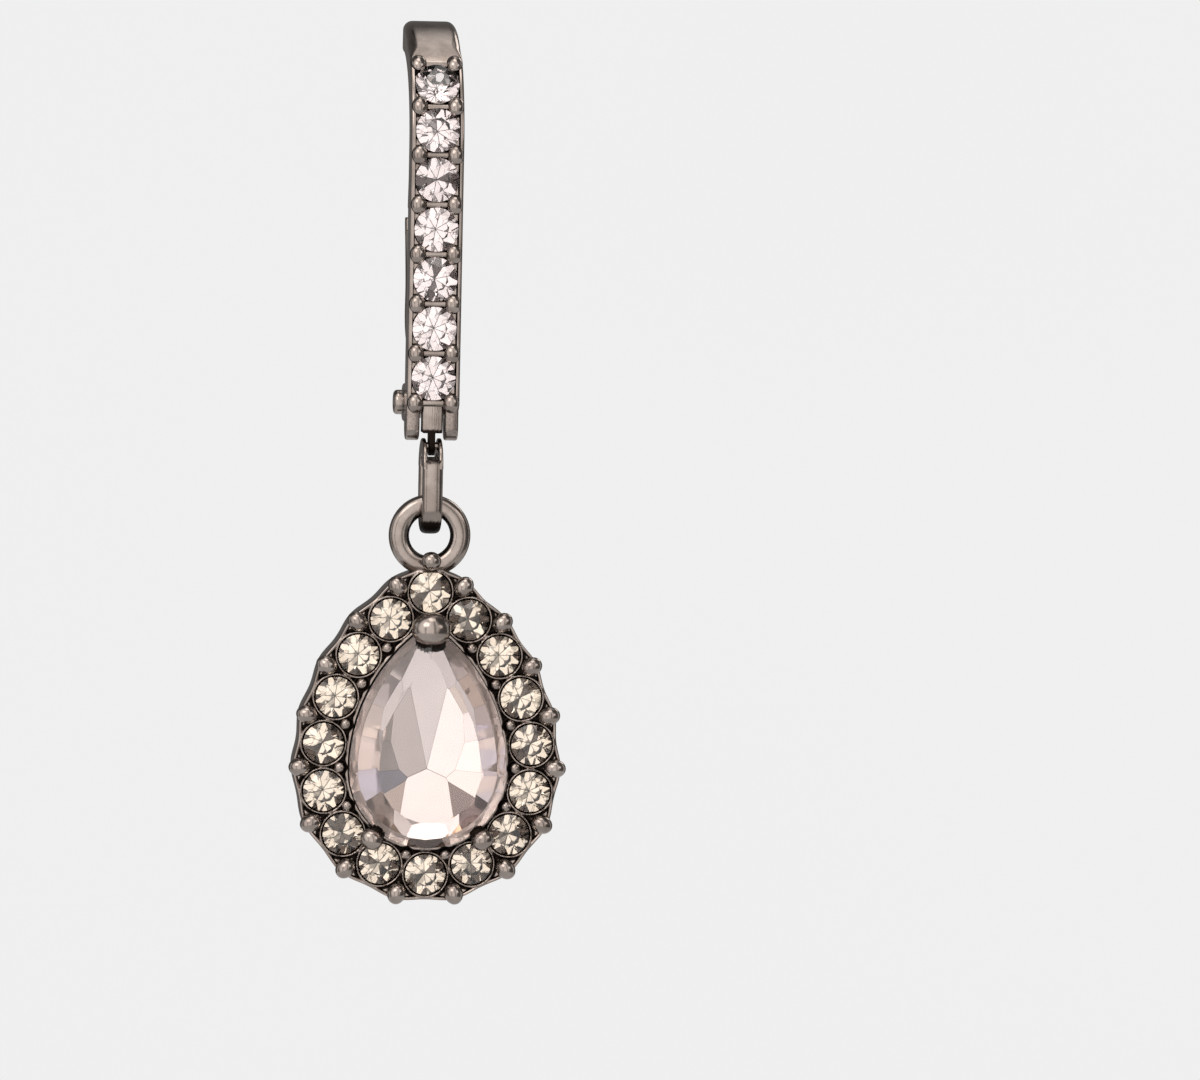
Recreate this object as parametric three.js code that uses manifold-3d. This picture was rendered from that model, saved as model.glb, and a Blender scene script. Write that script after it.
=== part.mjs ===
// Lever-back teardrop earring: a stone-set ear bar, a lever, a strap link and a pear halo pendant.
// Millimetres, +Z up, the front faces -Y. The origin is where the ear lobe hangs: the underside
// of the ear wire, just behind the shoulder of the bar.
import * as THREE from 'three';
import Module from 'manifold-3d';
import { mergeVertices } from 'three/addons/utils/BufferGeometryUtils.js';

const wasm = await Module();
wasm.setup();

// Ear bar
const barWidth = 2.35;
const barThickness = 1.5;
const barStraight = 11.5;
const archRadius = 5.6;
const barEdge = 0.1;
const rimWidth = 0.17;
const channelDepth = 0.2;
const barStoneCount = 7;
const barStoneDiameter = 1.95;
const barStonePitch = 2.2;
const firstBarStone = 1.3;
const barBeadDiameter = 0.72;
const barBeadInset = 0.375;
const saddleDiameter = 0.36;

// Ear wire
const wireDiameter = 0.8;
const wireBelowShoulder = 0.6;
const hangBehindShoulder = 0.6;
const wireReach = 4.25;
const wireDrop = 7.9;
const wireTipDiameter = 0.5;
const wireTipLength = 0.9;

// Where the ear wire bends, as shares of its reach and drop, and where its tip narrows and ends
const wireLevelShare = 0.47;
const wireBendReachShare = 0.85;
const wireBendDropShare = 0.42;
const tipNarrowShare = 0.35;
const tipRoundShare = 0.8;

// Hinge ears, rivet and lever
const earThickness = 0.6;
const earDrop = 1.5;
const earDepth = 1.2;
const earSetback = 0.25;
const rivetBehindBar = 0.8;
const rivetAboveBarEnd = 0.1;
const rivetDiameter = 0.6;
const rivetHeadDiameter = 1.1;
const rivetHeadHeight = 0.36;
const rivetTailDiameter = 0.84;
const rivetTailHeight = 0.14;
const earBossRadius = 0.85;
const knuckleRadius = 0.7;
const leverThickness = 0.75;
const leverWidth = 1.1;
const leverFlareWidth = 1.4;
const notchDepth = 0.5;
const leverPastWire = 0.15;

// The lever seen from the front, as shares of its height: where it is narrow, flared and straight
const leverNarrowShare = 0.16;
const leverFlareShare = 0.34;
const leverBendShare = 0.44;
const leverStraightShare = 0.6;

// The rivet's hollow head and bevelled tail, as shares of their own radius and height
const hollowRadiusShare = 0.35;
const hollowFloorShare = 0.6;
const lipInnerShare = 0.6;
const lipOuterShare = 0.85;
const headBevelShare = 0.7;
const tailBevelShare = 0.7;

// Tongue, eye and link
const tongueWidth = 0.9;
const tongueSetback = 0.18;
const tongueDepth = 0.85;
const tongueDrop = 1.15;
const eyeThickness = 0.28;
const eyeRadius = 0.42;
const eyeNeckShare = 0.8;
const eyeBelowTongue = 0.6;
const linkPinDiameter = 0.36;
const linkWidth = 0.9;
const linkDepth = 2.6;
const linkLength = 4.26;
const linkStrap = 0.7;
const linkEdge = 0.15;
const linkTopAbovePin = 0.36;
const linkSlotWidth = 0.5;
const linkSlotBelowPin = 0.57;

// Pear stone, halo and bail ring
const pearWidth = 7;
const pearLength = 10;
const pearTableInset = 1.25;
const pearCrown = 1.05;
const pearGirdle = 0.16;
const pearPavilion = 2.55;
const pearAboveHalo = 0.3;
const haloStoneCount = 16;
const haloStoneDiameter = 1.8;
const haloStoneOffset = 1.22;
const haloRim = 0.3;
const scallopHeight = 0.13;
const haloDepth = 1.7;
const baseDepth = 0.9;
const baseInset = 0.2;
const outerBeadDiameter = 0.8;
const outerBeadOut = 1.08;
const crestBeadOut = 1.38;
const innerBeadDiameter = 0.5;
const innerBeadIn = 0.77;
const outerBeadLiftShare = 0.1;
const innerBeadLiftShare = 0.15;
const crestPostShare = 0.4;
const topClawDiameter = 1.6;
const sideClawDiameter = 0.95;
const topClawRise = 0.72;
const sideClawRise = 0.6;
const clawPostShare = 0.28;
const topClawFootPastTip = 0.35;
const topClawHeadInTip = 0.15;
const sideClawFootShare = 0.75;
const windowInset = 1.5;
const ringInnerDiameter = 1.85;
const ringSection = 0.9;
const ringAboveTopStone = 2.45;
const ringBehindHalo = 1.0;

// Round brilliant proportions, as shares of the stone's diameter
const tableShare = 0.56;
const crownShare = 0.15;
const girdleShare = 0.05;
const pavilionShare = 0.42;

// Facets round or along each kind of curve
const beadSides = 10;
const beadRings = 6;
const clawSides = 14;
const clawRings = 8;
const postSides = 12;
const rodSides = 14;
const eyeSides = 16;
const knuckleSides = 20;
const saddleSides = 8;
const wireSteps = 14;
const wireTipSides = 10;
const leverSteps = 14;
const ringSides = 10;
const ringSegments = 24;
const windowCorners = 32;
const scallopSteps = 6;
const baseSteps = 3;

// Clearances
const stoneClearance = 0.04;
const turnClearance = 0.06;
const sideClearance = 0.1;
const slotClearance = 0.08;
const hangClearance = 0.15;
const overlap = 0.3;
const weldTolerance = 0.002;

// Finishes
const gunmetal = { color: 0x857a72, roughness: 0.28, metalness: 1 };
const clearStone = { color: 0xefe6e6, roughness: 0.05, metalness: 0.1 };
const champagneStone = { color: 0xcdbfab, roughness: 0.05, metalness: 0.1 };
const blushStone = { color: 0xe6dcd8, roughness: 0.04, metalness: 0.1 };

// Places worked out from the sizes above
const barHalf = barWidth / 2;
const shoulderY = -hangBehindShoulder;
const barFrontY = shoulderY - archRadius;
const archTopZ = wireDiameter / 2 + wireBelowShoulder;
const archCentreZ = archTopZ - archRadius;
const barEndZ = archCentreZ - barStraight;
const rivetY = barFrontY + barThickness + rivetBehindBar;
const rivetZ = barEndZ + rivetAboveBarEnd;
const tongueEndZ = barEndZ - tongueDrop;
const pinY = barFrontY + tongueSetback + tongueDepth / 2;
const pinZ = tongueEndZ - eyeBelowTongue;
const linkTopZ = pinZ + linkTopAbovePin;
const linkEndZ = linkTopZ - linkLength;
const ringRadius = ringInnerDiameter / 2;
const ringZ = linkEndZ + linkStrap + hangClearance - ringRadius;
const haloFaceY = pinY - ringBehindHalo;

function toSolid(geometry) {
  const bare = geometry.clone();
  bare.deleteAttribute('normal');
  bare.deleteAttribute('uv');
  const merged = mergeVertices(bare, 1e-5);
  return new wasm.Manifold(new wasm.Mesh({
    numProp: 3,
    vertProperties: new Float32Array(merged.attributes.position.array),
    triVerts: new Uint32Array(merged.index.array),
    tolerance: weldTolerance,
  }));
}

function toGeometry(solid) {
  const mesh = solid.getMesh();
  const geometry = new THREE.BufferGeometry();
  geometry.setAttribute('position', new THREE.BufferAttribute(mesh.vertProperties, 3));
  geometry.setIndex(new THREE.BufferAttribute(mesh.triVerts, 1));
  return geometry;
}

function joined(geometries) {
  return geometries.map(toSolid).reduce((sum, solid) => sum.add(solid));
}

function cutBy(solid, geometries) {
  return geometries.map(toSolid).reduce((rest, tool) => rest.subtract(tool), solid);
}

// A frame on a front-facing surface: local x is +X, local y runs up it, local z stands out of it.
// The tilt leans it back as the bar's arch does.
function faceFrame(x, y, z, tilt = 0) {
  const across = new THREE.Vector3(1, 0, 0);
  const up = new THREE.Vector3(0, Math.sin(tilt), Math.cos(tilt));
  const out = new THREE.Vector3(0, -Math.cos(tilt), Math.sin(tilt));
  return new THREE.Matrix4().makeBasis(across, up, out).setPosition(x, y, z);
}

// A side outline drawn with y as the shape's x and z as its y, made solid from x = low to x = high.
function sidePlate(shape, low, high, edge = 0, curveSegments = 6) {
  const geometry = new THREE.ExtrudeGeometry(shape, {
    depth: high - low - 2 * edge,
    bevelEnabled: edge > 0,
    bevelSize: edge,
    bevelOffset: -edge,
    bevelThickness: edge,
    bevelSegments: 1,
    curveSegments,
  });
  geometry.translate(0, 0, low + edge);
  const across = new THREE.Vector3(0, 1, 0);
  const up = new THREE.Vector3(0, 0, 1);
  const out = new THREE.Vector3(1, 0, 0);
  return geometry.applyMatrix4(new THREE.Matrix4().makeBasis(across, up, out));
}

function crossRod(radius, halfLength, y, z, sides = rodSides) {
  const geometry = new THREE.CylinderGeometry(radius, radius, 2 * halfLength, sides);
  return geometry.rotateZ(Math.PI / 2).translate(0, y, z);
}

function box(low, high) {
  const size = high.map((value, i) => value - low[i]);
  const middle = high.map((value, i) => (value + low[i]) / 2);
  return new THREE.BoxGeometry(...size).translate(...middle);
}

// A cut stone on local z: a flat table ring, a girdle ring with twice its points and one culet.
function cutStone(tableRing, girdleRing, culet, tableZ, girdleZ, girdleBackZ) {
  const corners = [];
  const add = (...points) => points.forEach((point) => corners.push(point.x, point.y, point.z));
  const at = (point, z) => new THREE.Vector3(point.x, point.y, z);
  const tableCentre = at(culet, tableZ);
  const count = tableRing.length;
  for (let i = 0; i < count; i++) {
    const tableA = at(tableRing[i], tableZ);
    const tableB = at(tableRing[(i + 1) % count], tableZ);
    const edge = [0, 1, 2].map((step) => girdleRing[(2 * i + step) % (2 * count)]);
    const front = edge.map((point) => at(point, girdleZ));
    const back = edge.map((point) => at(point, girdleBackZ));
    add(tableCentre, tableA, tableB);
    add(tableA, front[0], front[1]);
    add(tableA, front[1], tableB);
    add(tableB, front[1], front[2]);
    for (const k of [0, 1]) {
      add(front[k], back[k], back[k + 1]);
      add(front[k], back[k + 1], front[k + 1]);
      add(back[k], culet, back[k + 1]);
    }
  }
  const geometry = new THREE.BufferGeometry();
  geometry.setAttribute('position', new THREE.BufferAttribute(new Float32Array(corners), 3));
  return geometry;
}

// A round brilliant with its girdle's front edge on z = 0, grown on all sides by the margin.
function roundStone(diameter, margin = 0) {
  const tableCorners = 8;
  const ring = (radius, count) => Array.from({ length: count }, (_, i) => {
    const angle = 2 * Math.PI * i / count;
    return new THREE.Vector2(radius * Math.cos(angle), radius * Math.sin(angle));
  });
  const girdleBackZ = -girdleShare * diameter - margin;
  return cutStone(
    ring(diameter * tableShare / 2 + margin, tableCorners),
    ring(diameter / 2 + margin, 2 * tableCorners),
    new THREE.Vector3(0, 0, girdleBackZ - pavilionShare * diameter),
    crownShare * diameter + margin,
    margin,
    girdleBackZ,
  );
}

// The pear outline grown by an offset, at a share of the way round, counter-clockwise from the
// tip: a round bottom, and a side arc each way up to the tip. The origin is at its widest place.
const pearHalf = pearWidth / 2;
const pearTip = pearLength - pearHalf;
const sideCentre = (pearTip ** 2 - pearHalf ** 2) / (2 * pearHalf);
const sideRadius = sideCentre + pearHalf;

function pearPoint(offset, share) {
  const left = share < 0.5;
  const radius = sideRadius + offset;
  const tipAngle = Math.acos(sideCentre / radius);
  const sideLength = radius * tipAngle;
  const bottomRadius = pearHalf + offset;
  const halfLength = sideLength + bottomRadius * Math.PI / 2;
  const along = 2 * Math.min(share, 1 - share) * halfLength;
  const onSide = along < sideLength;
  const angle = onSide ? tipAngle - along / radius : -(along - sideLength) / bottomRadius;
  const reach = onSide ? radius : bottomRadius;
  const x = reach * Math.cos(angle) - (onSide ? sideCentre : 0);
  const y = reach * Math.sin(angle);
  const turn = left ? -1 : 1;
  const onTip = share === 0;
  return {
    x: onTip ? 0 : turn * x,
    y,
    outX: onTip ? 0 : turn * Math.cos(angle),
    outY: onTip ? 1 : Math.sin(angle),
  };
}

// A place in the halo: on the row of stones, moved outwards by a distance.
function haloPoint(share, out) {
  const place = pearPoint(haloStoneOffset, share % 1);
  return new THREE.Vector2(place.x + place.outX * out, place.y + place.outY * out);
}

function pearRing(offset, count) {
  return Array.from({ length: count }, (_, i) => {
    const place = pearPoint(offset, i / count);
    return new THREE.Vector2(place.x, place.y);
  });
}

function pearStone(margin = 0) {
  const tableCorners = 12;
  const girdleZ = pearAboveHalo + margin;
  const girdleBackZ = pearAboveHalo - pearGirdle - margin;
  return cutStone(
    pearRing(margin - pearTableInset, tableCorners),
    pearRing(margin, 2 * tableCorners),
    new THREE.Vector3(0, 0, girdleBackZ - pearPavilion),
    pearAboveHalo + pearCrown + margin,
    girdleZ,
    girdleBackZ,
  );
}

// The frame at a distance up the front of the bar, first straight and then round the arch.
function barFrame(along, x = 0, sink = 0) {
  const tilt = Math.max(0, along - barStraight) / archRadius;
  const straightZ = Math.min(along, barStraight) + barEndZ;
  const radius = archRadius - sink;
  const y = shoulderY - radius * Math.cos(tilt);
  const z = straightZ + radius * Math.sin(tilt);
  return faceFrame(x, y, z, tilt);
}

// A band of the bar's side outline between two depths under its front, up to an arch angle.
function barBand(frontDepth, backDepth, low, archAngle) {
  const end = Math.PI - archAngle;
  const shape = new THREE.Shape();
  shape.moveTo(barFrontY + backDepth, low);
  shape.lineTo(barFrontY + backDepth, archCentreZ);
  shape.absarc(shoulderY, archCentreZ, archRadius - backDepth, Math.PI, end, true);
  shape.absarc(shoulderY, archCentreZ, archRadius - frontDepth, end, Math.PI, false);
  shape.lineTo(barFrontY + frontDepth, low);
  shape.closePath();
  return shape;
}

const barStonePlaces = Array.from({ length: barStoneCount }, (_, i) => firstBarStone + i * barStonePitch);
const barBeadRows = Array.from({ length: barStoneCount + 1 }, (_, i) => (
  firstBarStone + (i - 0.5) * barStonePitch
));
const barGirdleSink = 0.04;

function earOutline() {
  const front = barFrontY + earSetback;
  const back = front + earDepth;
  const roundZ = barEndZ - earDrop + earDepth / 2;
  const shape = new THREE.Shape();
  shape.moveTo(front, rivetZ + earBossRadius);
  shape.lineTo(front, roundZ);
  shape.absarc((front + back) / 2, roundZ, earDepth / 2, Math.PI, 2 * Math.PI, false);
  shape.lineTo(back, rivetZ - earBossRadius);
  shape.lineTo(rivetY, rivetZ - earBossRadius);
  shape.absarc(rivetY, rivetZ, earBossRadius, -Math.PI / 2, Math.PI / 2, false);
  shape.closePath();
  return shape;
}

// The ear wire's centre line: level out of the shoulder, then back and down to the lever.
const wireCentreZ = archTopZ - wireBelowShoulder;
const wireEnd = new THREE.Vector3(0, shoulderY + wireReach, wireCentreZ - wireDrop);
const wireBendZ = wireCentreZ - wireDrop * wireBendDropShare;
const wirePath = new THREE.CubicBezierCurve3(
  new THREE.Vector3(0, shoulderY - overlap, wireCentreZ),
  new THREE.Vector3(0, shoulderY + wireReach * wireLevelShare, wireCentreZ),
  new THREE.Vector3(0, shoulderY + wireReach * wireBendReachShare, wireBendZ),
  wireEnd,
);

function earWire() {
  const section = new THREE.Shape();
  section.absarc(0, 0, wireDiameter / 2, 0, 2 * Math.PI, false);
  const rod = new THREE.ExtrudeGeometry(section, {
    extrudePath: wirePath,
    steps: wireSteps,
    curveSegments: wireTipSides / 2,
  });
  const profile = [
    [0, -overlap],
    [wireDiameter / 2, -overlap],
    [wireDiameter / 2, 0],
    [wireTipDiameter / 2, wireTipLength * tipNarrowShare],
    [wireTipDiameter / 2, wireTipLength * tipRoundShare],
    [wireTipDiameter / 4, wireTipLength],
    [0, wireTipLength],
  ];
  const tip = new THREE.LatheGeometry(profile.map(([r, h]) => new THREE.Vector2(r, h)), wireTipSides);
  const along = wirePath.getTangent(1);
  tip.applyQuaternion(new THREE.Quaternion().setFromUnitVectors(new THREE.Vector3(0, 1, 0), along));
  tip.translate(wireEnd.x, wireEnd.y, wireEnd.z);
  return [rod, tip];
}

function earBar() {
  const pieces = [sidePlate(barBand(0, barThickness, barEndZ, Math.PI / 2), -barHalf, barHalf, barEdge)];
  let solid = joined(pieces);

  // The channel for the stones ends at the top row of beads
  const channelTop = (barBeadRows[barStoneCount] - barStraight) / archRadius;
  const channel = barBand(-overlap, channelDepth, barEndZ - overlap, channelTop);
  const channelHalf = barHalf - rimWidth;
  solid = cutBy(solid, [sidePlate(channel, -channelHalf, channelHalf)]);

  const added = [];
  for (const side of [-1, 1]) {
    const inner = barHalf - earThickness;
    const low = side < 0 ? -barHalf : inner;
    added.push(sidePlate(earOutline(), low, low + earThickness));
    for (const row of barBeadRows) {
      const bead = new THREE.SphereGeometry(barBeadDiameter / 2, beadSides, beadRings);
      added.push(bead.applyMatrix4(barFrame(row, side * (barHalf - barBeadInset), saddleDiameter / 4)));
    }
  }
  for (const row of barBeadRows) {
    const saddle = new THREE.CylinderGeometry(saddleDiameter / 2, saddleDiameter / 2, barHalf, saddleSides);
    saddle.rotateZ(Math.PI / 2);
    added.push(saddle.applyMatrix4(barFrame(row, 0, saddleDiameter / 2)));
  }

  // The tongue carries a thin eye for the link's pin
  const tongueFrontY = barFrontY + tongueSetback;
  added.push(box(
    [-tongueWidth / 2, tongueFrontY, tongueEndZ],
    [tongueWidth / 2, tongueFrontY + tongueDepth, barEndZ + overlap],
  ));
  added.push(crossRod(eyeRadius, eyeThickness / 2, pinY, pinZ, eyeSides));
  added.push(box(
    [-eyeThickness / 2, pinY - eyeRadius * eyeNeckShare, pinZ],
    [eyeThickness / 2, pinY + eyeRadius * eyeNeckShare, tongueEndZ + overlap],
  ));
  added.push(...earWire());
  solid = solid.add(joined(added));

  const cuts = barStonePlaces.map((along) => (
    roundStone(barStoneDiameter, stoneClearance).applyMatrix4(barFrame(along, 0, barGirdleSink))
  ));
  cuts.push(crossRod(rivetDiameter / 2 + stoneClearance, barHalf + overlap, rivetY, rivetZ));
  cuts.push(crossRod(linkPinDiameter / 2 + turnClearance, eyeThickness, pinY, pinZ));
  return cutBy(solid, cuts);
}

function hingeRivet() {
  const headX = -barHalf - stoneClearance;
  const tailX = barHalf + stoneClearance;
  const headRadius = rivetHeadDiameter / 2;
  const profile = [
    [0, headX - rivetHeadHeight * hollowFloorShare],
    [headRadius * hollowRadiusShare, headX - rivetHeadHeight * hollowFloorShare],
    [headRadius * lipInnerShare, headX - rivetHeadHeight],
    [headRadius * lipOuterShare, headX - rivetHeadHeight],
    [headRadius, headX - rivetHeadHeight * headBevelShare],
    [headRadius, headX],
    [rivetDiameter / 2, headX],
    [rivetDiameter / 2, tailX],
    [rivetTailDiameter / 2, tailX],
    [rivetTailDiameter / 2 * tailBevelShare, tailX + rivetTailHeight],
    [0, tailX + rivetTailHeight],
  ];
  const rivet = new THREE.LatheGeometry(profile.map(([r, h]) => new THREE.Vector2(r, h)), rodSides);
  return toSolid(rivet.rotateZ(-Math.PI / 2).translate(0, rivetY, rivetZ));
}

// The lever's centre line runs from its knuckle back and up to the tip of the wire.
const wireTip = wirePath.getTangent(1).multiplyScalar(wireTipLength).add(wireEnd);
const leverEnd = new THREE.Vector2(wireTip.y + leverPastWire, wireTip.z + notchDepth);
const leverBow = [
  { back: 0, up: 0, half: 0.5 },
  { back: 0.3, up: 0.13, half: 0.5 },
  { back: 0.58, up: 0.37, half: 0.62 },
  { back: 0.81, up: 0.66, half: 0.5 },
  { back: 1, up: 1, half: 0.46 },
];

function leverOutline() {
  const spanY = leverEnd.x - rivetY;
  const spanZ = leverEnd.y - rivetZ;
  const line = new THREE.SplineCurve(leverBow.map((row) => (
    new THREE.Vector2(rivetY + row.back * spanY, rivetZ + row.up * spanZ)
  )));
  const halves = new THREE.SplineCurve(leverBow.map((row, i) => (
    new THREE.Vector2(i, row.half * leverThickness)
  )));
  const front = [];
  const back = [];
  for (let i = 0; i <= leverSteps; i++) {
    const point = line.getPoint(i / leverSteps);
    const tangent = line.getTangent(i / leverSteps);
    const half = halves.getPoint(i / leverSteps).y;
    const normal = new THREE.Vector2(-tangent.y, tangent.x).multiplyScalar(half);
    front.push(point.clone().add(normal));
    back.push(point.clone().sub(normal));
  }
  return new THREE.Shape([...back, ...front.reverse()]);
}

function lever() {
  const armHalf = leverFlareWidth / 2;
  const knuckleHalf = barHalf - earThickness - sideClearance;
  const bodyHalf = leverWidth / 2;
  const lowZ = rivetZ - 2 * knuckleRadius;
  const highZ = leverEnd.y + leverThickness;
  const [narrowZ, flareZ, bendZ, straightZ] = [
    leverNarrowShare,
    leverFlareShare,
    leverBendShare,
    leverStraightShare,
  ].map((share) => rivetZ + (leverEnd.y - rivetZ) * share);

  // Seen from the front the arm widens clear of the ears and is widest at its bend
  const widths = new THREE.Shape([
    new THREE.Vector2(-knuckleHalf, lowZ),
    new THREE.Vector2(knuckleHalf, lowZ),
    new THREE.Vector2(knuckleHalf, narrowZ),
    new THREE.Vector2(armHalf, flareZ),
    new THREE.Vector2(armHalf, bendZ),
    new THREE.Vector2(bodyHalf, straightZ),
    new THREE.Vector2(bodyHalf, highZ),
    new THREE.Vector2(-bodyHalf, highZ),
    new THREE.Vector2(-bodyHalf, straightZ),
    new THREE.Vector2(-armHalf, bendZ),
    new THREE.Vector2(-armHalf, flareZ),
    new THREE.Vector2(-knuckleHalf, narrowZ),
  ]);
  const across = new THREE.ExtrudeGeometry(widths, { depth: archRadius * 4, bevelEnabled: false });
  across.rotateX(Math.PI / 2).translate(0, archRadius * 3, 0);
  const arm = toSolid(sidePlate(leverOutline(), -armHalf, armHalf)).intersect(toSolid(across));
  const body = arm.add(toSolid(crossRod(knuckleRadius, knuckleHalf, rivetY, rivetZ, knuckleSides)));

  // The notch takes the tip of the wire with room all round
  const notchHalf = wireTipDiameter / 2 + slotClearance;
  return cutBy(body, [
    box(
      [-notchHalf, wireTip.y - leverThickness, wireTip.z - slotClearance],
      [notchHalf, wireTip.y + leverThickness, leverEnd.y + leverThickness],
    ),
    crossRod(rivetDiameter / 2 + turnClearance, barHalf, rivetY, rivetZ),
  ]);
}

function stadium(halfDepth, topZ, endZ) {
  const shape = new THREE.Shape();
  shape.moveTo(pinY + halfDepth, endZ + halfDepth);
  shape.lineTo(pinY + halfDepth, topZ - halfDepth);
  shape.absarc(pinY, topZ - halfDepth, halfDepth, 0, Math.PI, false);
  shape.lineTo(pinY - halfDepth, endZ + halfDepth);
  shape.absarc(pinY, endZ + halfDepth, halfDepth, Math.PI, 2 * Math.PI, false);
  shape.closePath();
  return shape;
}

function dropLink() {
  const outline = stadium(linkDepth / 2, linkTopZ, linkEndZ);
  outline.holes.push(stadium(linkDepth / 2 - linkStrap, linkTopZ - linkStrap, linkEndZ + linkStrap));
  const strap = toSolid(sidePlate(outline, -linkWidth / 2, linkWidth / 2, linkEdge, 5));
  const slotHalf = linkSlotWidth / 2;
  const slotted = cutBy(strap, [box(
    [-slotHalf, pinY - linkDepth, pinZ - linkSlotBelowPin],
    [slotHalf, pinY + linkDepth, linkTopZ + overlap],
  )]);
  const cheekMiddle = (linkWidth / 2 + slotHalf) / 2;
  return slotted.add(toSolid(crossRod(linkPinDiameter / 2, cheekMiddle, pinY, pinZ)));
}

// The pendant is worked out flat, on its halo's face, and then hung from the bail ring.
const topStoneY = pearPoint(haloStoneOffset, 0).y;
const ringCentreY = topStoneY + ringAboveTopStone;
const pendantFrame = faceFrame(0, haloFaceY, ringZ - ringCentreY);
const haloShares = Array.from({ length: haloStoneCount }, (_, i) => i / haloStoneCount);
const gapShares = haloShares.map((share) => share + 0.5 / haloStoneCount);
const haloGirdleSink = 0.02;
const haloEdgeOut = haloStoneDiameter / 2 + haloRim;

// The side claws stand in one gap each side of the bottom, and no inner bead stands by a claw
const clawGap = 6;
const innerGaps = gapShares.filter((_, i) => {
  const fromTip = Math.min(i, haloStoneCount - 1 - i);
  return fromTip !== 0 && fromTip !== clawGap;
});

function plate(points, frontZ, depth) {
  const shape = new THREE.Shape(points);
  return new THREE.ExtrudeGeometry(shape, { depth, bevelEnabled: false }).translate(0, 0, frontZ - depth);
}

function scallopedEdge() {
  const count = haloStoneCount * scallopSteps;
  return Array.from({ length: count }, (_, i) => {
    const step = i + 0.5;
    const wave = -Math.cos(2 * Math.PI * step / scallopSteps);
    return haloPoint(step / count, haloEdgeOut + scallopHeight * wave);
  });
}

function baseEdge() {
  const count = haloStoneCount * baseSteps;
  return Array.from({ length: count }, (_, i) => haloPoint((i + 0.5) / count, haloEdgeOut - baseInset));
}

function bead(place, diameter, height) {
  const ball = new THREE.SphereGeometry(diameter / 2, beadSides, beadRings);
  return ball.rotateX(Math.PI / 2).translate(place.x, place.y, height);
}

// A claw: a post up from the halo and a ball on its end that laps over the pear stone.
function claw(foot, head, diameter, rise) {
  const postRadius = diameter * clawPostShare;
  const postHeight = rise + haloDepth / 2;
  const post = new THREE.CylinderGeometry(postRadius, postRadius, postHeight, postSides);
  post.rotateX(Math.PI / 2).translate(foot.x, foot.y, rise - postHeight / 2);
  const ball = new THREE.SphereGeometry(diameter / 2, clawSides, clawRings);
  ball.rotateX(Math.PI / 2).translate(head.x, head.y, rise);
  return [post, ball];
}

function bailRing() {
  const half = ringSection / 2;
  const profile = Array.from({ length: ringSides + 1 }, (_, i) => {
    const angle = 2 * Math.PI * (i % ringSides) / ringSides;
    return new THREE.Vector2(ringRadius + half + half * Math.cos(angle), half * Math.sin(angle));
  });
  const ring = new THREE.LatheGeometry(profile, ringSegments, Math.PI / ringSegments);
  return ring.rotateX(Math.PI / 2).translate(0, ringCentreY, -ringBehindHalo);
}

function pendantSetting() {
  const parts = [
    plate(scallopedEdge(), 0, haloDepth),
    plate(baseEdge(), -haloDepth + overlap, baseDepth + overlap),
    bailRing(),
  ];
  const outerLift = outerBeadDiameter * outerBeadLiftShare;
  const innerLift = innerBeadDiameter * innerBeadLiftShare;
  for (const share of gapShares) {
    parts.push(bead(haloPoint(share, outerBeadOut), outerBeadDiameter, outerLift));
  }
  for (const share of innerGaps) {
    parts.push(bead(haloPoint(share, -innerBeadIn), innerBeadDiameter, innerLift));
  }

  // The crest bead stands on a short post in front of the ring
  const crest = haloPoint(0, crestBeadOut);
  const postRadius = outerBeadDiameter * crestPostShare;
  const post = new THREE.CylinderGeometry(postRadius, postRadius, ringBehindHalo, beadSides);
  parts.push(bead(crest, outerBeadDiameter, outerLift));
  parts.push(post.rotateX(Math.PI / 2).translate(crest.x, crest.y, -ringBehindHalo / 2));

  const tipFoot = new THREE.Vector2(0, pearTip + topClawFootPastTip);
  const tipHead = new THREE.Vector2(0, pearTip - topClawHeadInTip);
  parts.push(...claw(tipFoot, tipHead, topClawDiameter, topClawRise));
  for (const gap of [clawGap, haloStoneCount - 1 - clawGap]) {
    const foot = haloPoint(gapShares[gap], -innerBeadIn * sideClawFootShare);
    parts.push(...claw(foot, haloPoint(gapShares[gap], -innerBeadIn), sideClawDiameter, sideClawRise));
  }

  const window = pearRing(-windowInset, windowCorners);
  const cuts = haloShares.map((share) => haloStone(share, stoneClearance));
  cuts.push(pearStone(stoneClearance));
  cuts.push(plate(window, -haloDepth / 2, haloDepth + baseDepth));
  return cutBy(joined(parts), cuts).transform(pendantFrame.elements);
}

function haloStone(share, margin = 0) {
  const place = haloPoint(share, 0);
  return roundStone(haloStoneDiameter, margin).translate(place.x, place.y, -haloGirdleSink);
}

const group = new THREE.Group();

function addMesh(name, geometry, finish) {
  geometry.deleteAttribute('normal');
  geometry.computeVertexNormals();
  const mesh = new THREE.Mesh(geometry, new THREE.MeshStandardMaterial(finish));
  mesh.name = name;
  group.add(mesh);
}

addMesh('ear_bar', toGeometry(earBar()), gunmetal);
barStonePlaces.forEach((along, i) => {
  const stone = roundStone(barStoneDiameter).applyMatrix4(barFrame(along, 0, barGirdleSink));
  addMesh(`bar_stone_${i + 1}`, stone, clearStone);
});
addMesh('hinge_rivet', toGeometry(hingeRivet()), gunmetal);
addMesh('lever', toGeometry(lever()), gunmetal);
addMesh('drop_link', toGeometry(dropLink()), gunmetal);
addMesh('pendant_setting', toGeometry(pendantSetting()), gunmetal);
haloShares.forEach((share, i) => {
  const name = `halo_stone_${String(i + 1).padStart(2, '0')}`;
  addMesh(name, haloStone(share).applyMatrix4(pendantFrame), champagneStone);
});
addMesh('pear_stone', pearStone().applyMatrix4(pendantFrame), blushStone);

export default group;
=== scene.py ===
import math

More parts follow.
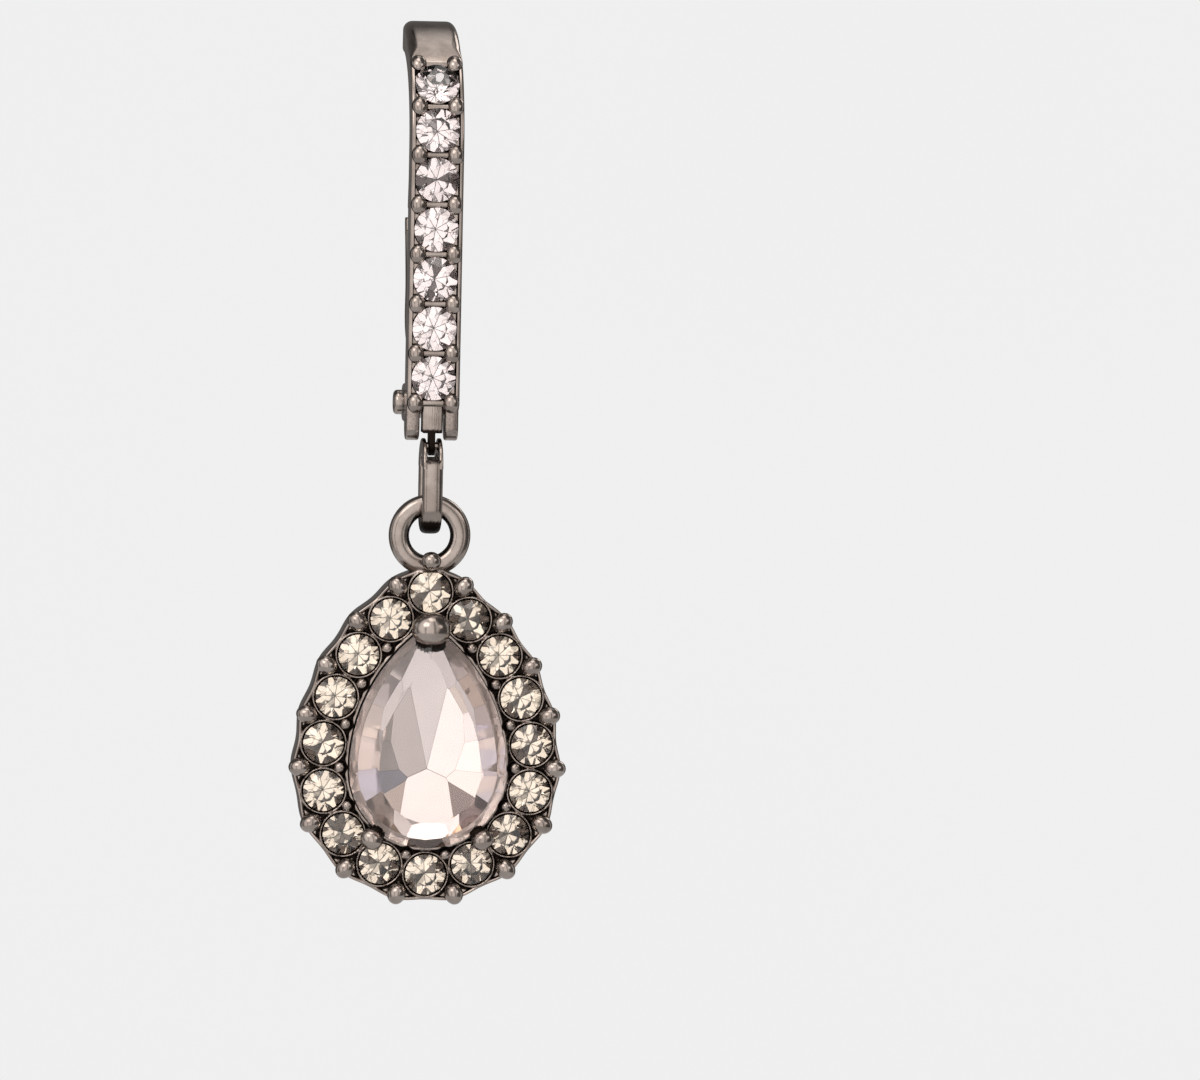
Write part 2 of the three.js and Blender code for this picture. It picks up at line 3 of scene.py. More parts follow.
import bmesh
import bpy
import numpy as np
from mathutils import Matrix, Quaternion, Vector


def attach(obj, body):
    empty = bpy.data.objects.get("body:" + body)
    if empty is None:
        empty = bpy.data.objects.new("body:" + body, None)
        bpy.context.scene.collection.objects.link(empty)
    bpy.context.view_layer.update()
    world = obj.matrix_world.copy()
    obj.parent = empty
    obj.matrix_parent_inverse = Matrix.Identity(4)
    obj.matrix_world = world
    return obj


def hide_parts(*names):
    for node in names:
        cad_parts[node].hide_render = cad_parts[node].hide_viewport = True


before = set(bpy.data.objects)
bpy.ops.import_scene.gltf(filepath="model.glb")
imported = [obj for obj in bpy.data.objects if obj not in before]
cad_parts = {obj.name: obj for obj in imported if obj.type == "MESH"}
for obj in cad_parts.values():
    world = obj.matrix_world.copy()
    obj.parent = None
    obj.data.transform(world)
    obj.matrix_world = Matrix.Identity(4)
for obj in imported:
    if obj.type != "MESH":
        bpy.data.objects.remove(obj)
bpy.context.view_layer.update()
scene = bpy.context.scene
print("frame loaded")

mm = 0.001
fullTurn = 2 * math.pi


# Camera: a long lens a little above the earring and to its left, turned so that the earring stands
# left of centre and leans a degree
camera = {
    "lens": 200,
    "sensor": 36,
    "clipStart": 5,
    "clipEnd": 5000,
    "azimuth": -5.5,
    "elevation": 4.5,
    "distance": 296.2,
    "aim": (0, -6.4, -21.83),
    "right": 7.5,
    "roll": 1.2,
}

cameraData = bpy.data.cameras.new("camera")
cameraData.lens = camera["lens"]
cameraData.sensor_width = camera["sensor"]
cameraData.clip_start = camera["clipStart"] * mm
cameraData.clip_end = camera["clipEnd"] * mm
cameraObject = bpy.data.objects.new("camera", cameraData)
scene.collection.objects.link(cameraObject)
scene.camera = cameraObject
azimuth = math.radians(camera["azimuth"])
elevation = math.radians(camera["elevation"])
away = Vector((
    math.sin(azimuth) * math.cos(elevation),
    -math.cos(azimuth) * math.cos(elevation),
    math.sin(elevation),
))
side = Vector((math.cos(azimuth), math.sin(azimuth), 0))
eye = Vector(camera["aim"]) + away * camera["distance"]
target = Vector(camera["aim"]) + side * camera["right"]
cameraObject.location = eye * mm
level = (target - eye).to_track_quat("-Z", "Y")
cameraObject.rotation_euler = (level @ Quaternion((0, 0, 1), math.radians(camera["roll"]))).to_euler()
scene.view_settings.view_transform = "Standard"


# Small tools for colours, nodes and meshes

# An sRGB hex colour as linear light
def linear(hexColour):
    parts = [int(hexColour[i:i + 2], 16) / 255 for i in (1, 3, 5)]
    light = [p / 12.92 if p <= 0.04045 else ((p + 0.055) / 1.055) ** 2.4 for p in parts]
    return (*light, 1.0)


# A shader node: settings by name, inputs by name or number as a value or as another node's output
def addNode(tree, kind, settings=None, inputs=None):
    node = tree.nodes.new("ShaderNode" + kind)
    for key, value in (settings or {}).items():
        setattr(node, key, value)
    for key, value in (inputs or {}).items():
        if isinstance(value, bpy.types.NodeSocket):
            tree.links.new(value, node.inputs[key])
        else:
            node.inputs[key].default_value = value
    return node


# A colour ramp's output over two (place, hex colour) stops
def ramp(tree, factor, stops):
    node = addNode(tree, "ValToRGB", None, {"Fac": factor})
    for element, (place, colour) in zip(node.color_ramp.elements, stops):
        element.position = place
        element.color = linear(colour)
    return node.outputs["Color"]


# A number carried from one range to another by a smooth step
def between(tree, value, fromLow, fromHigh, toLow, toHigh):
    inputs = {0: value, 1: fromLow, 2: fromHigh, 3: toLow, 4: toHigh}
    return addNode(tree, "MapRange", {"interpolation_type": "SMOOTHSTEP"}, inputs).outputs[0]


# Two colours mixed by a factor, or multiplied
def mixed(tree, factor, first, second, blend="MIX"):
    settings = {"data_type": "RGBA", "blend_type": blend}
    return addNode(tree, "Mix", settings, {"Factor": factor, 6: first, 7: second}).outputs[2]


# Noise over the object's own space, which can be drawn out along its axes
def noise(tree, scale, detail=2, stretch=None):
    place = addNode(tree, "TexCoord").outputs["Object"]
    if stretch:
        place = addNode(tree, "Mapping", None, {"Vector": place, "Scale": stretch}).outputs[0]
    inputs = {"Vector": place, "Scale": scale, "Detail": detail}
    return addNode(tree, "TexNoise", None, inputs).outputs["Fac"]


# A number ("Fac") or a colour ("Color") that is stored on the mesh
def stored(tree, name, output="Fac"):
    return addNode(tree, "Attribute", {"attribute_name": name}).outputs[output]


def newMaterial(name):
    material = bpy.data.materials.new(name)
    material.use_nodes = True
    material.node_tree.nodes.clear()
    return material, material.node_tree


def endMaterial(tree, shaderKind, inputs):
    shader = addNode(tree, shaderKind, None, inputs)
    addNode(tree, "OutputMaterial", None, {"Surface": shader.outputs[0]})


# 0 below the first edge, 1 above the second, and a smooth cubic step between them
def smoothStep(low, high, value):
    t = np.clip((value - low) / (high - low), 0, 1)
    return t * t * (3 - 2 * t)


# Coordinates of matching shapes put together as points
def stacked(*coordinates):
    return np.stack(np.broadcast_arrays(*coordinates), -1)


# Even angles once round
def roundAngles(count):
    return np.linspace(0, fullTurn, count, endpoint=False)


# Stretches of a section side by side, each spread over all the rows
def sideBySide(rows, stretches):
    return np.concatenate([np.broadcast_to(part, (rows, part.shape[-1])) for part in stretches], 1)


# A patch of four-sided faces over a grid of points, closed round either way, with a fan of triangles
# to a middle point over an end where a cap is asked for
def gridPatch(points, wrapRows=False, wrapColumns=True, caps=False):
    rows, columns = points.shape[:2]
    verts = points.reshape(-1, 3)
    i = np.arange(rows if wrapRows else rows - 1)[:, None]
    j = np.arange(columns if wrapColumns else columns - 1)[None, :]
    row, nextRow = i * columns, (i + 1) % rows * columns
    nextJ = (j + 1) % columns
    faces = [stacked(row + j, nextRow + j, nextRow + nextJ, row + nextJ).reshape(-1, 4)]
    if caps:
        a = np.arange(columns)
        b = (a + 1) % columns
        last = (rows - 1) * columns
        middle = len(verts)
        faces.append(np.stack([np.full(columns, middle), a, b], -1))
        faces.append(np.stack([np.full(columns, middle + 1), last + b, last + a], -1))
        verts = np.vstack([verts, points[0].mean(0), points[-1].mean(0)])
    return {"verts": verts, "faces": faces, "recess": np.zeros(len(verts))}


# Six times the volume that a closed patch holds, negative where its faces point in
def signedVolume(patch):
    total = 0
    for faces in patch["faces"]:
        corners = patch["verts"][faces]
        for k in range(1, faces.shape[1] - 1):
            total += np.einsum("ij,ij->i", corners[:, 0], np.cross(corners[:, k], corners[:, k + 1])).sum()
    return total


# One object from closed patches, each turned to face outward, with each vertex's recess darkness kept:
# painted shade on the metal, the facet border on the stones
def addPiece(
        name, patches, materials, body, nodes,
        smooth=True, crease=None, faceTint=None, faceSlot=None):
    verts, faces, recess, start = [], [], [], 0
    for patch in patches:
        flip = signedVolume(patch) < 0
        verts.append(patch["verts"])
        recess.append(patch["recess"])
        for group in patch["faces"]:
            faces.extend((start + (group[:, ::-1] if flip else group)).tolist())
        start += len(patch["verts"])
    mesh = bpy.data.meshes.new(name)
    mesh.from_pydata((np.vstack(verts) * mm).tolist(), [], faces)
    mesh.polygons.foreach_set("use_smooth", np.full(len(faces), smooth))
    mesh.attributes.new("recess", "FLOAT", "POINT").data.foreach_set("value", np.concatenate(recess))
    if faceTint is not None:
        tint = np.c_[faceTint, np.ones(len(faceTint))]
        mesh.attributes.new("facet", "FLOAT_COLOR", "FACE").data.foreach_set("color", tint.ravel())
    for material in materials:
        mesh.materials.append(material)
    if faceSlot is not None:
        mesh.polygons.foreach_set("material_index", faceSlot)
    if crease:
        mesh.set_sharp_from_angle(angle=math.radians(crease))
    mesh.update()
    piece = bpy.data.objects.new(name, mesh)
    scene.collection.objects.link(piece)
    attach(piece, body)
    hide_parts(*nodes)


# Stage: a round sweep like the inside of a bowl, which glows evenly. The metal and the stones mirror
# lamps, a lit silk panel before them and one dark card behind
stage = {
    "floor": -150,
    "floorRadius": 380,
    "wallRadius": 560,
    "wallTop": 420,
    "paint": "#efefef",
    "palePaint": "#f0f0f0",
    "glow": 1.0,
    "grain": 6,
}
lamps = {
    "key": {"azimuth": -34, "elevation": 36, "size": 165, "strength": 3.0, "colour": "#fff8f2"},
    "fill": {"azimuth": 50, "elevation": 20, "size": 115, "strength": 2.1, "colour": "#fdf6f2"},
    "top": {"azimuth": 8, "elevation": 76, "size": 160, "strength": 2.3, "colour": "#fffaf4"},
    "low": {"azimuth": 20, "elevation": -50, "size": 95, "strength": 1.5, "colour": "#f8f2f0"},
    "rim": {"azimuth": 138, "elevation": 30, "size": 120, "strength": 3.0, "colour": "#fff8f2"},
}
lampDistance = 300
card = {
    "azimuth": 180,
    "elevation": -14,
    "wide": 130,
    "high": 110,
    "distance": 322,
    "glow": 0.16,
    "fibre": 900,
}
stageCentre = np.array([0, -3, -19])


# Places on a sphere about the earring, from azimuth and elevation in degrees as the camera's are
def aroundStage(azimuths, elevations, distance):
    a, e = np.radians(azimuths), np.radians(elevations)
    out = stacked(np.sin(a) * np.cos(e), -np.cos(a) * np.cos(e), np.sin(e))
    return stageCentre + out * distance


# The sweep: a flat floor, a quarter-circle cove and a wall, turned about the vertical axis
def sweepPoints(turns=96, steps=24):
    floor, wall = stage["floorRadius"], stage["wallRadius"]
    cove = wall - floor
    angle = np.linspace(0, math.pi / 2, steps)
    radius = np.r_[1, floor / 2, floor + cove * np.sin(angle), wall][:, None]
    height = np.r_[0, 0, cove * (1 - np.cos(angle)), stage["wallTop"] - stage["floor"]] + stage["floor"]
    turn = roundAngles(turns)
    return stacked(radius * np.cos(turn), radius * np.sin(turn), height[:, None])


def addStageMesh(name, points, material, wrap):
    patch = gridPatch(points, wrapColumns=wrap)
    mesh = bpy.data.meshes.new(name)
    mesh.from_pydata((patch["verts"] * mm).tolist(), [], patch["faces"][0].tolist())
    mesh.polygons.foreach_set("use_smooth", np.full(len(mesh.polygons), True))
    mesh.materials.append(material)
    piece = bpy.data.objects.new(name, mesh)
    scene.collection.objects.link(piece)
    return piece


# A screen near the earring, which the camera and the shadows don't see
def addScreen(name, azimuths, elevations, distance, material):
    piece = addStageMesh(name, aroundStage(azimuths, elevations, distance), material, False)
    piece.visible_camera = False
    piece.visible_shadow = False
    return piece


# Matt white studio paint, rolled: an even pale grey with the faintest mottle
def paintedSweep():
    material, tree = newMaterial("rolledStudioPaint")
    colour = ramp(tree, noise(tree, stage["grain"]), [(0.3, stage["paint"]), (0.7, stage["palePaint"])])
    endMaterial(tree, "BsdfPrincipled", {
        "Base Color": (0, 0, 0, 1),
        "Roughness": 1,
        "Specular IOR Level": 0,
        "Emission Color": colour,
        "Emission Strength": stage["glow"],
    })
    return material


# Dark felt behind the earring, glowing faintly as painted light in place of lamplight: what the metal's
# edges mirror as their darks
def feltCard():
    material, tree = newMaterial("pressedDarkFelt")
    colour = ramp(tree, noise(tree, card["fibre"]), [(0.3, "#f4ece8"), (0.7, "#fffaf6")])
    endMaterial(tree, "Emission", {"Color": colour, "Strength": card["glow"]})
    return material


panel = {
    "distance": 330,
    "wide": 190,
    "low": -80,
    "high": 150,
    "bright": 1.7,
    "dim": 0.16,
    "weave": 14,
    "centreAzimuth": -20,
    "centreElevation": 40,
    "halfWide": 62,
    "halfHigh": 84,
    "ovalEdge": (1.25, 0.8),
    "gaps": [(17, 6, 0.25), (-33, 4, 0.25), (44, 3, 0.35)],
    "gapEdge": (0.6, 1.3),
}


# White silk stretched over lamps in front of the earring: an even glow that its edges lose
def litSilk():
    material, tree = newMaterial("backlitWhiteSilk")
    colour = ramp(tree, noise(tree, panel["weave"], 1), [(0.3, "#fdf8f4"), (0.7, "#fffdfb")])
    endMaterial(tree, "Emission", {"Color": colour, "Strength": stored(tree, "glow")})
    return material


# The silk's brightness: full inside an oval, down by a smooth step to its dim edge, and low in the
# upright gaps between its frames, each an azimuth, a half width and the share of light left
def silkGlow(azimuths, elevations):
    wide = (azimuths - panel["centreAzimuth"]) / panel["halfWide"]
    high = (elevations - panel["centreElevation"]) / panel["halfHigh"]
    lit = smoothStep(*panel["ovalEdge"], np.hypot(wide, high))
    glow = panel["dim"] + (panel["bright"] - panel["dim"]) * lit
    inner, outer = panel["gapEdge"]
    for azimuth, halfWidth, share in panel["gaps"]:
        off = np.abs(azimuths - azimuth)
        glow = glow * (share + (1 - share) * smoothStep(halfWidth * inner, halfWidth * outer, off))
    return glow


addStageMesh("sweep", sweepPoints(), paintedSweep(), True)
across = np.linspace(-1, 1, 161)[None, :] * panel["wide"] / 2
up = np.linspace(panel["low"], panel["high"], 65)[:, None]
silk = addScreen("silkPanel", across, up, panel["distance"], litSilk())
glow = silkGlow(*np.broadcast_arrays(across, up)).ravel()
silk.data.attributes.new("glow", "FLOAT", "POINT").data.foreach_set("value", glow)
across = np.linspace(-1, 1, 13)[None, :] * card["wide"] / 2 + card["azimuth"]
up = np.linspace(-1, 1, 13)[:, None] * card["high"] / 2 + card["elevation"]
addScreen("behindCard", across, up, card["distance"], feltCard())

# A lamp's power is its strength x pi squared x its radius squared, so its size doesn't change how
# bright it looks
for name, lamp in lamps.items():
    data = bpy.data.lights.new(name + "Lamp", "AREA")
    data.shape = "DISK"
    data.size = lamp["size"] * mm
    data.color = linear(lamp["colour"])[:3]
    data.energy = lamp["strength"] * math.pi * math.pi * (data.size / 2) ** 2
    lampObject = bpy.data.objects.new(name + "Lamp", data)
    place = Vector(aroundStage(lamp["azimuth"], lamp["elevation"], lampDistance))
    lampObject.location = place * mm
    lampObject.rotation_euler = (Vector(stageCentre) - place).to_track_quat("-Z", "Y").to_euler()
    lampObject.visible_camera = False
    scene.collection.objects.link(lampObject)
print("camera and stage made")


# Finishes

plate = {
    "bright": "#988e88",
    "body": "#827872",
    # The recess colour: near black, for painted shade in recesses and for unpolished plate
    "recess": "#1e1815",
    "grit": 0.09,
    "wave": 0.8,
    "polish": 0.18,
    "brushedPolish": 0.22,
    "worn": 0.5,
    "gritShare": 0.5,
    "shadeAndGritFrom": 0.22,
    "shadeAndGritFull": 0.66,
    "wornFrom": 0.2,
    "wornFull": 0.9,
    "bump": 0.004,
    "brushBump": 0.012,
    "bumpStrength": 0.6,
    "brushGrain": 0.05,
    "brushLong": 0.05,
}


# Black nickel plate over tumbled cast zinc: a warm brown-grey mirror, near black in recesses, partly
# plate that the polish didn't reach and partly painted shade. Darkness = recess + grit's share times (grit
# - 0.5)
def blackNickelPlate(name, polish, brushed=False):
    material, tree = newMaterial(name)
    wave = noise(tree, 1 / (plate["wave"] * mm), 3)
    grit = noise(tree, 1 / (plate["grit"] * mm))
    plateTone = ramp(tree, wave, [(0.35, plate["body"]), (0.65, plate["bright"])])
    share = plate["gritShare"]
    edge = addNode(tree, "Math", {"operation": "MULTIPLY_ADD"}, {0: grit, 1: share, 2: -share / 2})
    # The stored recess value is painted shade, and grit varies it at random
    sums = {0: stored(tree, "recess"), 1: edge.outputs[0]}
    dark = addNode(tree, "Math", {"operation": "ADD", "use_clamp": True}, sums).outputs[0]
    shadeAndGrit = between(tree, dark, plate["shadeAndGritFrom"], plate["shadeAndGritFull"], 0, 1)
    height, deep = grit, plate["bump"] * mm
    if brushed:
        height = noise(tree, 1 / (plate["brushGrain"] * mm), stretch=(1, 1, plate["brushLong"]))
        deep = plate["brushBump"] * mm
    relief = {"Height": height, "Distance": deep, "Strength": plate["bumpStrength"]}
    bump = addNode(tree, "Bump", None, relief)
    endMaterial(tree, "BsdfPrincipled", {
        "Base Color": mixed(tree, shadeAndGrit, plateTone, linear(plate["recess"])),
        "Metallic": 1,
        "Roughness": between(tree, dark, plate["wornFrom"], plate["wornFull"], polish, plate["worn"]),
        "Normal": bump.outputs[0],
    })
    return material


glass = {
    "index": 1.57,
    "haze": 2.5,
    "hazeRough": 0.02,
}


# Machine-cut lead glass, fire polished: clear, with a hard bright face on each facet
def cutGlass(name, tint):
    material, tree = newMaterial(name)
    haze = noise(tree, 1 / (glass["haze"] * mm))
    endMaterial(tree, "BsdfPrincipled", {
        "Base Color": linear(tint),
        "Transmission Weight": 1,
        "IOR": glass["index"],
        "Roughness": between(tree, haze, 0.3, 0.8, 0, glass["hazeRough"]),
    })
    return material


foil = {
    "cloud": 0.7,
    "smooth": 0.03,
    "cloudy": 0.09,
    "line": 0.1,
    "pearLine": 0.012,
    "pearMirror": 0.72,
    "edge": "#2b211d",
}


# Silver foil under lacquer on the back facets: a mirror that each facet's own tint colours, some tints
# painted dark as painted reflections, with a dark line along the facet's edges
def foilBack(name, tint, line=foil["line"], mirror=1.0):
    material, tree = newMaterial(name)
    onLine = between(tree, stored(tree, "recess"), 0.0, line, 1, 0)
    linedTint = mixed(tree, onLine, linear(tint), linear(foil["edge"]))
    cloud = noise(tree, 1 / (foil["cloud"] * mm))
    endMaterial(tree, "BsdfPrincipled", {
        "Base Color": mixed(tree, 1.0, stored(tree, "facet", "Color"), linedTint, "MULTIPLY"),
        "Metallic": mirror,
        "Roughness": between(tree, cloud, 0.3, 0.7, foil["smooth"], foil["cloudy"]),
    })
    return material


tumbled = blackNickelPlate("tumbledBlackNickel", plate["polish"])
brushed = blackNickelPlate("brushedBlackNickel", plate["brushedPolish"], True)
clearLooks = [cutGlass("clearCutGlass", "#fffdfd"), foilBack("clearStoneFoil", "#f0ebeb")]
champagneLooks = [cutGlass("champagneCutGlass", "#fbf8f3"), foilBack("champagneStoneFoil", "#efe9e2")]
blushLooks = [
    cutGlass("blushCutGlass", "#fbf3f2"),
    foilBack("blushStoneFoil", "#f1ebe8", foil["pearLine"], foil["pearMirror"]),
]
print("finishes made")

# The body that each metal node of the CAD rides on
metalBodies = {
    "ear_bar": "ear_bar",
    "hinge_rivet": "ear_bar",
    "lever": "lever",
    "drop_link": "link",
    "pendant_setting": "pendant",
}


# A metal piece stands for one node of the CAD, which several pieces can share
def addMetal(name, patches, node, crease=None, finish=tumbled):
    addPiece(name, patches, [finish], metalBodies[node], [node], crease=crease)


# Places shared by the pieces, as in the CAD model
bar = {
    "half": 1.175,
    "thick": 1.5,
    "shoulderY": -0.6,
    "radius": 5.6,
    "endZ": -16.1,
    "straight": 11.5,
    "stones": 7,
    "stone": 1.95,
    "pitch": 2.2,
    "first": 1.3,
    "sunk": 0.04,
}
pear = {
    "half": 3.5,
    "tip": 6.5,
    "centreZ": -32.196,
    "faceY": -6.595,
    "front": 0.3,
    "tableInset": 1.25,
    "crown": 1.05,
    "girdle": 0.16,
    "stones": 16,
    "stone": 1.8,
    "row": 1.22,
    "sunk": 0.02,
}
pear["sideCentre"] = (pear["tip"] ** 2 - pear["half"] ** 2) / (2 * pear["half"])
pear["sideRadius"] = pear["sideCentre"] + pear["half"]
stoneRows = bar["first"] + bar["pitch"] * np.arange(bar["stones"])
beadRows = bar["first"] + bar["pitch"] * (np.arange(bar["stones"] + 1) - 0.5)
haloShares = np.arange(pear["stones"]) / pear["stones"]
gapShares = haloShares + 0.5 / pear["stones"]


# The bar's front at a distance up it: straight, and then round a quarter circle to the shoulder.
# A point sunk under the front moves in along the arch's radius
def onBar(along, x, sink):
    along, x, sink = np.broadcast_arrays(along, x, sink)
    tilt = np.maximum(0, along - bar["straight"]) / bar["radius"]
    reach = bar["radius"] - sink
    z = bar["endZ"] + np.minimum(along, bar["straight"]) + reach * np.sin(tilt)
    return np.stack([x, bar["shoulderY"] - reach * np.cos(tilt), z], -1)


# Three axes at a place up the bar: across it, up it and out of it
def barAxes(along):
    tilt = max(0, along - bar["straight"]) / bar["radius"]
    return np.array([[1, 0, 0], [0, math.sin(tilt), math.cos(tilt)], [0, -math.cos(tilt), math.sin(tilt)]])


# The pear outline grown by an offset at shares of the way round from its tip, anticlockwise from the
# front: a round bottom of one radius and a side arc each way up to the tip. Gives x, y and the
# direction outwards
def pearOutline(offset, share):
    share, offset = np.broadcast_arrays(np.asarray(share, float) % 1, offset)
    side = pear["sideRadius"] + offset
    tipAngle = np.arccos(pear["sideCentre"] / side)
    sideLength = side * tipAngle
    bottom = pear["half"] + offset
    along = 2 * np.minimum(share, 1 - share) * (sideLength + bottom * math.pi / 2)
    onSide = along < sideLength
    angle = np.where(onSide, tipAngle - along / side, (sideLength - along) / bottom)
    reach = np.where(onSide, side, bottom)
    turn = np.where(share < 0.5, -1, 1)
    x = turn * (reach * np.cos(angle) - np.where(onSide, pear["sideCentre"], 0))
    onTip = share == 0
    outX, outY = turn * np.cos(angle), np.sin(angle)
    return np.where(onTip, 0, x), reach * np.sin(angle), np.where(onTip, 0, outX), np.where(onTip, 1, outY)


# A place in the halo: on the row of stones, moved out by a distance, and lifted off the halo's face
def onHalo(share, out, lift):
    x, y, outX, outY = pearOutline(pear["row"], share)
    x, y, lift = np.broadcast_arrays(x + outX * out, y + outY * out, lift)
    return np.stack([x, pear["faceY"] - lift, y + pear["centreZ"]], -1)


# The same for the casting's rings, which keep a true even distance from the outline inside the row
# of stones, so that they don't cross at the tip
def onHaloRing(share, out, lift):
    points = onHalo(share, out, lift)
    x, y = pearOutline(pear["row"] + np.minimum(out, 0), share)[:2]
    points[..., 0] = np.where(out < 0, x, points[..., 0])
    points[..., 2] = np.where(out < 0, y + pear["centreZ"], points[..., 2])
    return points


haloAxes = np.array([[1, 0, 0], [0, 0, 1], [0, -1, 0]])


# A facet whose normal rises less than this along the stone's axis is foiled: those behind and the girdle
foilFacing = 0.05


# A stone as a cutter makes it: a block with one slice for each facet plane (normal, point, tint),
# which leaves flat facets. Gives corner points and each face's corners, foiling and tint
def cutStone(planes, block):
    cut = bmesh.new()
    bmesh.ops.create_cube(cut, size=2 * block)
    facet = cut.faces.layers.int.new("facet")
    for number, (normal, point, tint) in enumerate(planes):
        geometry = cut.verts[:] + cut.edges[:] + cut.faces[:]
        sliced = bmesh.ops.bisect_plane(
            cut, geom=geometry, dist=1e-6, plane_co=point, plane_no=normal, clear_outer=True)
        rim = [item for item in sliced["geom_cut"] if isinstance(item, bmesh.types.BMEdge)]
        if len(rim) > 2:
            for face in bmesh.ops.contextual_create(cut, geom=rim)["faces"]:
                face[facet] = number
    bmesh.ops.recalc_face_normals(cut, faces=cut.faces[:])
    cut.verts.index_update()
    points = np.array([vert.co[:] for vert in cut.verts])
    faces = [[vert.index for vert in face.verts] for face in cut.faces]
    backs = np.array([face.normal.z < foilFacing for face in cut.faces])
    tints = np.array([planes[face[facet]][2] for face in cut.faces])
    cut.free()
    return {"points": points, "faces": faces, "backs": backs, "tints": tints}


# A facet plane leaning from the stone's axis: its normal lies an angle up from the edge direction
def facetPlane(x, y, z, outX, outY, rise, tint=(1, 1, 1)):
    level = math.cos(rise)
    return (outX * level, outY * level, math.sin(rise)), (x, y, z), tint


roundCut = {
    "block": 0.8,
    "table": 0.56,
    "crown": 0.15,
    "girdle": 0.05,
    "pavilion": 0.42,
    "starLean": math.radians(68),
    "edgeSteep": math.radians(5),
    "halfSteep": math.radians(1.7),
    "mains": 8,
    # Back facets painted dark as painted reflections: their tint, how dark, their share on the bar and on
    # the halo, and how much rarer among the mains
    "darkFacet": (1.0, 0.86, 0.84),
    "darkFacetShade": 0.1,
    "barDarkFacets": 0.46,
    "haloDarkFacets": 0.62,
    "mainsRarer": 6,
    "paleLow": 0.85,
}


# The round brilliant at diameter 1: table, eight stars, eight kites, sixteen edge facets, a round
# girdle, and eight mains with sixteen halves behind, all on one axis
def roundPlanes(rng, darkFacetShare):
    radius, mains, crown = 0.5, roundCut["mains"], roundCut["crown"]
    tableRadius = roundCut["table"] / 2
    crownRise = math.pi / 2 - math.atan(crown / (radius - tableRadius))
    backRise = math.pi / 2 - math.atan(roundCut["pavilion"] / radius)
    back = -roundCut["girdle"]
    darkFacet = np.array(roundCut["darkFacet"]) * roundCut["darkFacetShade"]
    planes = [((0, 0, 1), (0, 0, crown), np.ones(3))]

    # A back facet's foil tint: for a share of them painted dark, a painted reflection, else pale at random
    def backTint(share):
        return darkFacet if rng.uniform() < share else np.ones(3) * rng.uniform(roundCut["paleLow"], 1)

    def addFacet(angle, out, z, rise, tint=(1, 1, 1)):
        c, s = math.cos(angle), math.sin(angle)
        planes.append(facetPlane(out * c, out * s, z, c, s, rise, tint))

    for k in range(4 * mains):
        addFacet(fullTurn * (k + 0.5) / (4 * mains), radius, 0, 0)
    for k in range(mains):
        angle = fullTurn * k / mains
        addFacet(angle, radius, 0, crownRise)
        addFacet(angle, radius, back, -backRise, backTint(darkFacetShare / roundCut["mainsRarer"]))
        halfStep = math.pi / mains
        addFacet(angle + halfStep, tableRadius * math.cos(halfStep), crown, roundCut["starLean"])
        for part in (-1, 1):
            turned = angle + part * math.pi / (2 * mains)
            addFacet(turned, radius, 0, crownRise - roundCut["edgeSteep"])
            addFacet(turned, radius, back, roundCut["halfSteep"] - backRise, backTint(darkFacetShare))
    return planes


# One stone piece: the cut's points scaled and turned to its place, clear in front and foiled behind.
# Each facet is fanned from its middle, where the border value is 1, to its edges, where it is 0
def addStone(node, cut, scale, origin, axes, spin, looks, body):
    c, s = math.cos(spin), math.sin(spin)
    points = cut["points"] * scale
    points = np.c_[points[:, 0] * c - points[:, 1] * s, points[:, 0] * s + points[:, 1] * c, points[:, 2]]
    sizes = np.array([len(face) for face in cut["faces"]])
    middles = np.array([points[face].mean(0) for face in cut["faces"]])
    start = len(points) + np.arange(len(sizes))
    corners = np.concatenate(cut["faces"])
    onward = np.concatenate([np.roll(face, -1) for face in cut["faces"]])
    fan = np.stack([np.repeat(start, sizes), corners, onward], -1)
    border = np.r_[np.zeros(len(points)), np.ones(len(sizes))]
    patch = {"verts": np.vstack([points, middles]) @ axes + origin, "faces": [fan], "recess": border}
    tints = np.repeat(cut["tints"], sizes, 0)
    foiled = np.repeat(cut["backs"], sizes).astype(int)
    addPiece(
        node + "Cut", [patch], looks, body, [node],
        smooth=False, faceTint=tints, faceSlot=foiled)


rng = np.random.default_rng(7)
barCuts = [cutStone(roundPlanes(rng, roundCut["barDarkFacets"]), roundCut["block"]) for _ in stoneRows]
haloCuts = [cutStone(roundPlanes(rng, roundCut["haloDarkFacets"]), roundCut["block"]) for _ in haloShares]
for i, along in enumerate(stoneRows):
    place = onBar(along, 0.0, bar["sunk"])
    addStone(
        f"bar_stone_{i + 1}", barCuts[i], bar["stone"], place, barAxes(along),
        rng.uniform(0, fullTurn), clearLooks, "ear_bar")
for i, share in enumerate(haloShares):
    place = onHalo(share, 0, -pear["sunk"])
    addStone(
        f"halo_stone_{i + 1:02d}", haloCuts[i], pear["stone"], place, haloAxes,
        rng.uniform(0, fullTurn), champagneLooks, "pendant")


